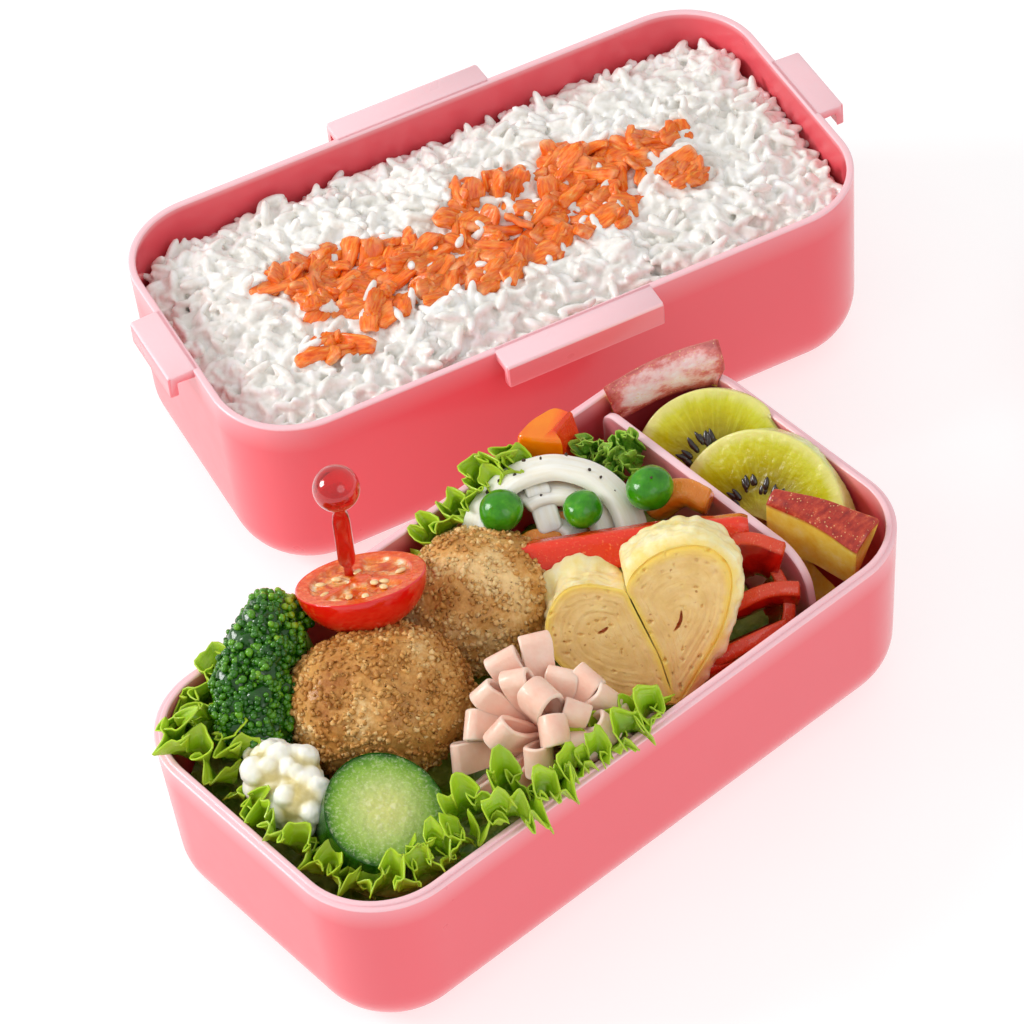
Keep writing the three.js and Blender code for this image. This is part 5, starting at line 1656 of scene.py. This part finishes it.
def kiwi_slice(name, node, radius, centre, face, along, seed):
    """Adds a half-round slice and returns its seeds."""
    axes, half = frame_axes(face, along), 4.4
    angles = np.linspace(0, math.pi, 120)
    arc = np.column_stack([radius * np.cos(angles), radius * 0.96 * np.sin(angles)])
    flat = np.column_stack([np.linspace(-radius, radius, 50)[1:-1], np.zeros(48)])
    outline = np.vstack([arc, flat])
    middle = np.array([0, radius * 0.36])
    profile = [(0, -half)] + [(s, -half) for s in (0.3, 0.6, 0.85)]
    profile += [(0.95 + 0.05 * math.sin(a), -half + 0.9 - 0.9 * math.cos(a)) for a in np.linspace(0, 1.57, 5)]
    profile += [(1.0, w) for w in np.linspace(-half + 1.4, half - 1.4, 10)]
    profile += [(0.955 + 0.045 * math.sin(a), half - 0.9 + 0.9 * math.cos(a)) for a in np.linspace(1.57, 0, 6)]
    profile += [(s, half) for s in np.linspace(0.95, 0.02, 60)] + [(0, half)]
    local, faces = domed(outline, profile, middle)
    reach = np.hypot(local[:, 0], local[:, 1]) / radius
    face_on = local[:, 2] > half - 0.05
    local[:, 2] += face_on * (0.25 * noise_at(local, 1 / 3, seed) + 0.1 * noise_at(local, 1 / 1.1, seed + 1))
    swell = 0.35 * noise_at(local, 1 / 7, seed + 2)
    local[:, :2] += (local[:, :2] - middle) / radius * swell[:, None]
    side = np.clip((half - 0.35 - local[:, 2]) / 0.5, 0, 1) * (reach > 0.86)
    piece(name, local @ axes.T + centre, faces, kiwi_look(), "lower_tier", "kiwi", [node], local=local,
          extra={"reach": reach, "side": side}, sharp=60)
    rng = np.random.default_rng(seed)
    count = 26
    turn = rng.uniform(0.12, math.pi - 0.12, count)
    far = radius * rng.uniform(0.3, 0.44, count)
    spots = np.column_stack([far * np.cos(turn), far * np.sin(turn), rng.uniform(half - 0.35, half + 0.1, count)])
    pip, pip_faces = sphere(14, 10)
    pip[:, 1:] *= (1 - 0.35 * pip[:, :1])
    size = np.column_stack([rng.uniform(1.35, 1.8, count), rng.uniform(0.55, 0.75, count), np.full(count, 0.45)])
    zero = np.zeros(count)
    vertices, faces = scatter(pip, pip_faces, spots, turns(turn + rng.normal(0, 0.15, count), zero, zero), size)
    return vertices @ axes.T + centre, faces


def make_kiwi():
    seeds = [kiwi_slice("kiwi_slice_front", "kiwi_front", 21.0, (66.4, -4.4, 32.6), (-0.72, -0.22, 0.66),
                        (0.31, -0.95, 0), 301),
             kiwi_slice("kiwi_slice_back", "kiwi_back", 19.0, (68.6, 14.0, 33.8), (-0.6, -0.4, 0.7),
                        (0.6, -0.8, 0), 311)]
    vertices, faces = merged(seeds)
    look = Look("kiwi_seed", roughness=0.25, coat=0.5)
    look.set("Base Color", look.ramp(look.noise(900, 2.0), (0.3, srgb(16, 12, 10)), (0.7, srgb(52, 36, 26))))
    look.bump(look.noise(3000, 2.0), 0.05, 0.5)
    piece("kiwi_seeds", vertices, faces, look.material, "lower_tier", "kiwi", sharp=None)


def apple_look(name, grain, gloss, middle_highlight, *skins):
    """Apple skin of four tones, dark to light, over yellow flesh. `grain` sets how fine its streaks are, and the
    argument after `gloss` how much paler the skin is painted in its middle than at its cut edges: a painted
    highlight."""
    look = Look(name, roughness=0.34 - 0.16 * gloss, coat=gloss, subsurface=0.3, radius=(1.0, 0.7, 0.3), scale=2.5)
    place = look.local()
    skin = look.note("skin")
    drawn = look.stretched(place, (0.5, 1.0, 1.0))
    # Painted highlight: the skin is paler in its middle than at its rim by this amount.
    streak = look.maths("ADD", look.noise(grain, 4.0, 0.65, drawn), 0.5 * middle_highlight)
    streak = look.maths("MULTIPLY_ADD", look.note("rim"), -middle_highlight, streak)
    red = look.ramp(streak, *zip((0.3, 0.5, 0.66, 0.85), skins))
    dots = look.fall(look.cells(1.3, "F1", place), 0.1, 0.26)
    dots = look.maths("MULTIPLY", dots, look.rise(look.noise(0.5, 1.0, 0.5, place), 0.42, 0.5))
    red = look.mix(look.maths("MULTIPLY", dots, 0.75), red, srgb(240, 204, 140))
    flesh = look.ramp(look.noise(0.28, 4.0, 0.6, place), (0.3, srgb(244, 208, 66)), (0.55, srgb(250, 226, 96)),
                      (0.8, srgb(254, 240, 150)))
    look.set("Base Color", look.mix(skin, flesh, red))
    look.bump(look.noise(1.4, 4.0, 0.65, place), 0.2, 0.5)
    return look.material


def apple_wedge(points, sections, sides):
    """A wedge along a path: (vertices, faces, skin, rim).

    Its section runs round three (side, up) corners, the first two of which bound the skin.
    """
    count, skin_steps = 70, 16
    path = smooth_path(points, count)
    first, last = (np.array(s, float) for s in sections)
    rows = []
    for t in np.linspace(0, 1, count):
        a, b, c = first + (last - first) * t
        bulge = np.array([-(b - a)[1], (b - a)[0]]) * 0.14
        skin = [a + (b - a) * k + bulge * math.sin(math.pi * k) for k in np.linspace(0, 1, skin_steps)]
        flesh = [b + (c - b) * k for k in np.linspace(0, 1, 14)[1:]]
        flesh += [c + (a - c) * k for k in np.linspace(0, 1, 14)[1:-1]]
        rows.append(skin + flesh)
    rows = np.array(rows)
    middle = rows.mean(1, keepdims=True)
    rows = middle + (rows - middle) * eased_ends(count, 0.93, 0.98)
    vertices, faces = swept(rows, path, sides)
    flesh_steps = rows.shape[1] - skin_steps
    skin = np.tile([1.0] * skin_steps + [0.0] * flesh_steps, count)
    along = abs(np.linspace(-1, 1, count)) ** 5
    across = np.concatenate([abs(np.linspace(-1, 1, skin_steps)) ** 3, np.zeros(flesh_steps)])
    rim = np.maximum(along[:, None], across[None, :]).ravel()
    return vertices, faces, skin, rim


def make_apple():
    red = apple_look("apple_red", 0.7, 0.5, 0.0, srgb(136, 30, 24), srgb(174, 50, 34), srgb(198, 80, 50),
                     srgb(230, 150, 96))
    # The back wedge's skin, pink to near white: a painted highlight over its pink.
    highlit_skin = apple_look("apple_highlit_skin", 0.3, 1.0, 0.5, srgb(184, 64, 60), srgb(226, 122, 116), srgb(250, 206, 204),
                       srgb(255, 240, 238))
    wedges = (
        ("apple_wedge_front", ["apple_front"], ((59.2, -12.6, 48.6), (62.6, -24.0, 48.2), (65.2, -35.6, 46.4)),
         (((0, 0.6), (3.2, 2.6), (0.2, -14)), ((-0.6, 0), (8.0, 3.4), (0.4, -13))), (0.966, 0.235, 0)),
        ("apple_wedge_back", ["apple_back"], ((57.0, 35.6, 44.6), (69.0, 31.6, 47.2), (82.0, 26.0, 47.4)),
         (((-0.5, -2.5), (3.0, 6.8), (5.5, -4)), ((-1.0, -3.0), (2.6, 8.4), (6.0, -4))), (0.25, 0.95, 0.1)),
        ("apple_wedge_low", ["apple_low"], ((62, 30, 14), (68, 2, 12), (64, -30, 14)),
         (((-5, -2), (11, -6), (3, 12)), ((-4, -2), (10, -5), (3, 11))), (1, 0.1, 0)))
    for k, (name, nodes, points, sections, sides) in enumerate(wedges):
        vertices, faces, skin, rim = apple_wedge(points, sections, sides)
        vertices += 0.22 * noises_at(vertices, 1 / 6, *range(400 + 3 * k, 403 + 3 * k))
        piece(name, vertices, faces, highlit_skin if k == 1 else red, "lower_tier", "apple", nodes, local=vertices + 20 * k,
              extra={"skin": skin, "rim": rim}, sharp=40)


# ---- Camera, light and floor ----------------------------------------------------------------
AIM, DISTANCE = Vector((45.2, 62.9, 0.0)) * MM, 1161.6 * MM
AZIMUTH, ELEVATION, ROLL = math.radians(36.43), math.radians(46.75), math.radians(-6.52)


def make_camera():
    forward = Vector((math.cos(ELEVATION) * math.sin(AZIMUTH), math.cos(ELEVATION) * math.cos(AZIMUTH),
                      -math.sin(ELEVATION)))
    level = Vector((math.cos(AZIMUTH), -math.sin(AZIMUTH), 0))
    upright = level.cross(forward)
    right = math.cos(ROLL) * level + math.sin(ROLL) * upright
    data = bpy.data.cameras.new("camera")
    data.lens, data.sensor_width = 172.97, 36.0
    data.clip_start, data.clip_end = 0.05, 20.0
    camera = bpy.data.objects.new("camera", data)
    bpy.context.scene.collection.objects.link(camera)
    turn = Matrix((right, right.cross(forward), -forward)).transposed().to_4x4()
    camera.matrix_world = Matrix.Translation(AIM - forward * DISTANCE) @ turn
    bpy.context.scene.camera = camera


LIGHT_TARGET = (0.04, 0.05, 0.02)


def area_light(name, place, size, power):
    data = bpy.data.lights.new(name, "AREA")
    data.shape, data.size, data.energy = "DISK", size, power
    light = bpy.data.objects.new(name, data)
    light.location = place
    light.rotation_euler = (Vector(LIGHT_TARGET) - Vector(place)).to_track_quat("-Z", "Y").to_euler()
    bpy.context.scene.collection.objects.link(light)


def make_floor():
    look = Look("paper_floor", roughness=0.7)
    tone = look.noise(14, 4.0)
    look.set("Base Color", look.ramp(tone, (0.2, (0.44, 0.44, 0.44, 1)), (0.8, (0.48, 0.48, 0.48, 1))))
    look.bump(look.noise(1800, 3.0), 0.02, 0.3)
    look.set("Emission Color", (1.0, 1.0, 1.0, 1.0))
    look.set("Emission Strength", 0.62)
    half = 2.0
    mesh = bpy.data.meshes.new("floor")
    mesh.from_pydata([(-half, -half, 0), (half, -half, 0), (half, half, 0), (-half, half, 0)], [], [(0, 1, 2, 3)])
    mesh.materials.append(look.material)
    floor = bpy.data.objects.new("floor", mesh)
    floor.location = (0.05, 0.05, -0.0002)
    bpy.context.scene.collection.objects.link(floor)


def make_light():
    scene = bpy.context.scene
    scene.view_settings.view_transform = "Standard"
    world = scene.world or bpy.data.worlds.new("world")
    scene.world = world
    world.use_nodes = True
    background = world.node_tree.nodes["Background"]
    background.inputs["Color"].default_value = (1.0, 1.0, 1.0, 1.0)
    background.inputs["Strength"].default_value = 0.72
    area_light("key", (-0.62, 0.62, 0.52), 0.42, 6.0)
    area_light("fill", (-0.10, -0.80, 0.70), 0.7, 1.6)


make_camera()
make_light()
make_floor()

pink_plastic = make_tiers()
make_divider()
make_rice()
make_salmon()
make_lid(pink_plastic)
make_croquettes()
make_cucumber()
make_egg()
make_tomato()
make_pick()
make_lettuce()
make_parsley()
make_broccoli()
make_cauliflower()
make_ham()
make_peppers()
make_onion()
make_peas()
make_kiwi()
make_apple()
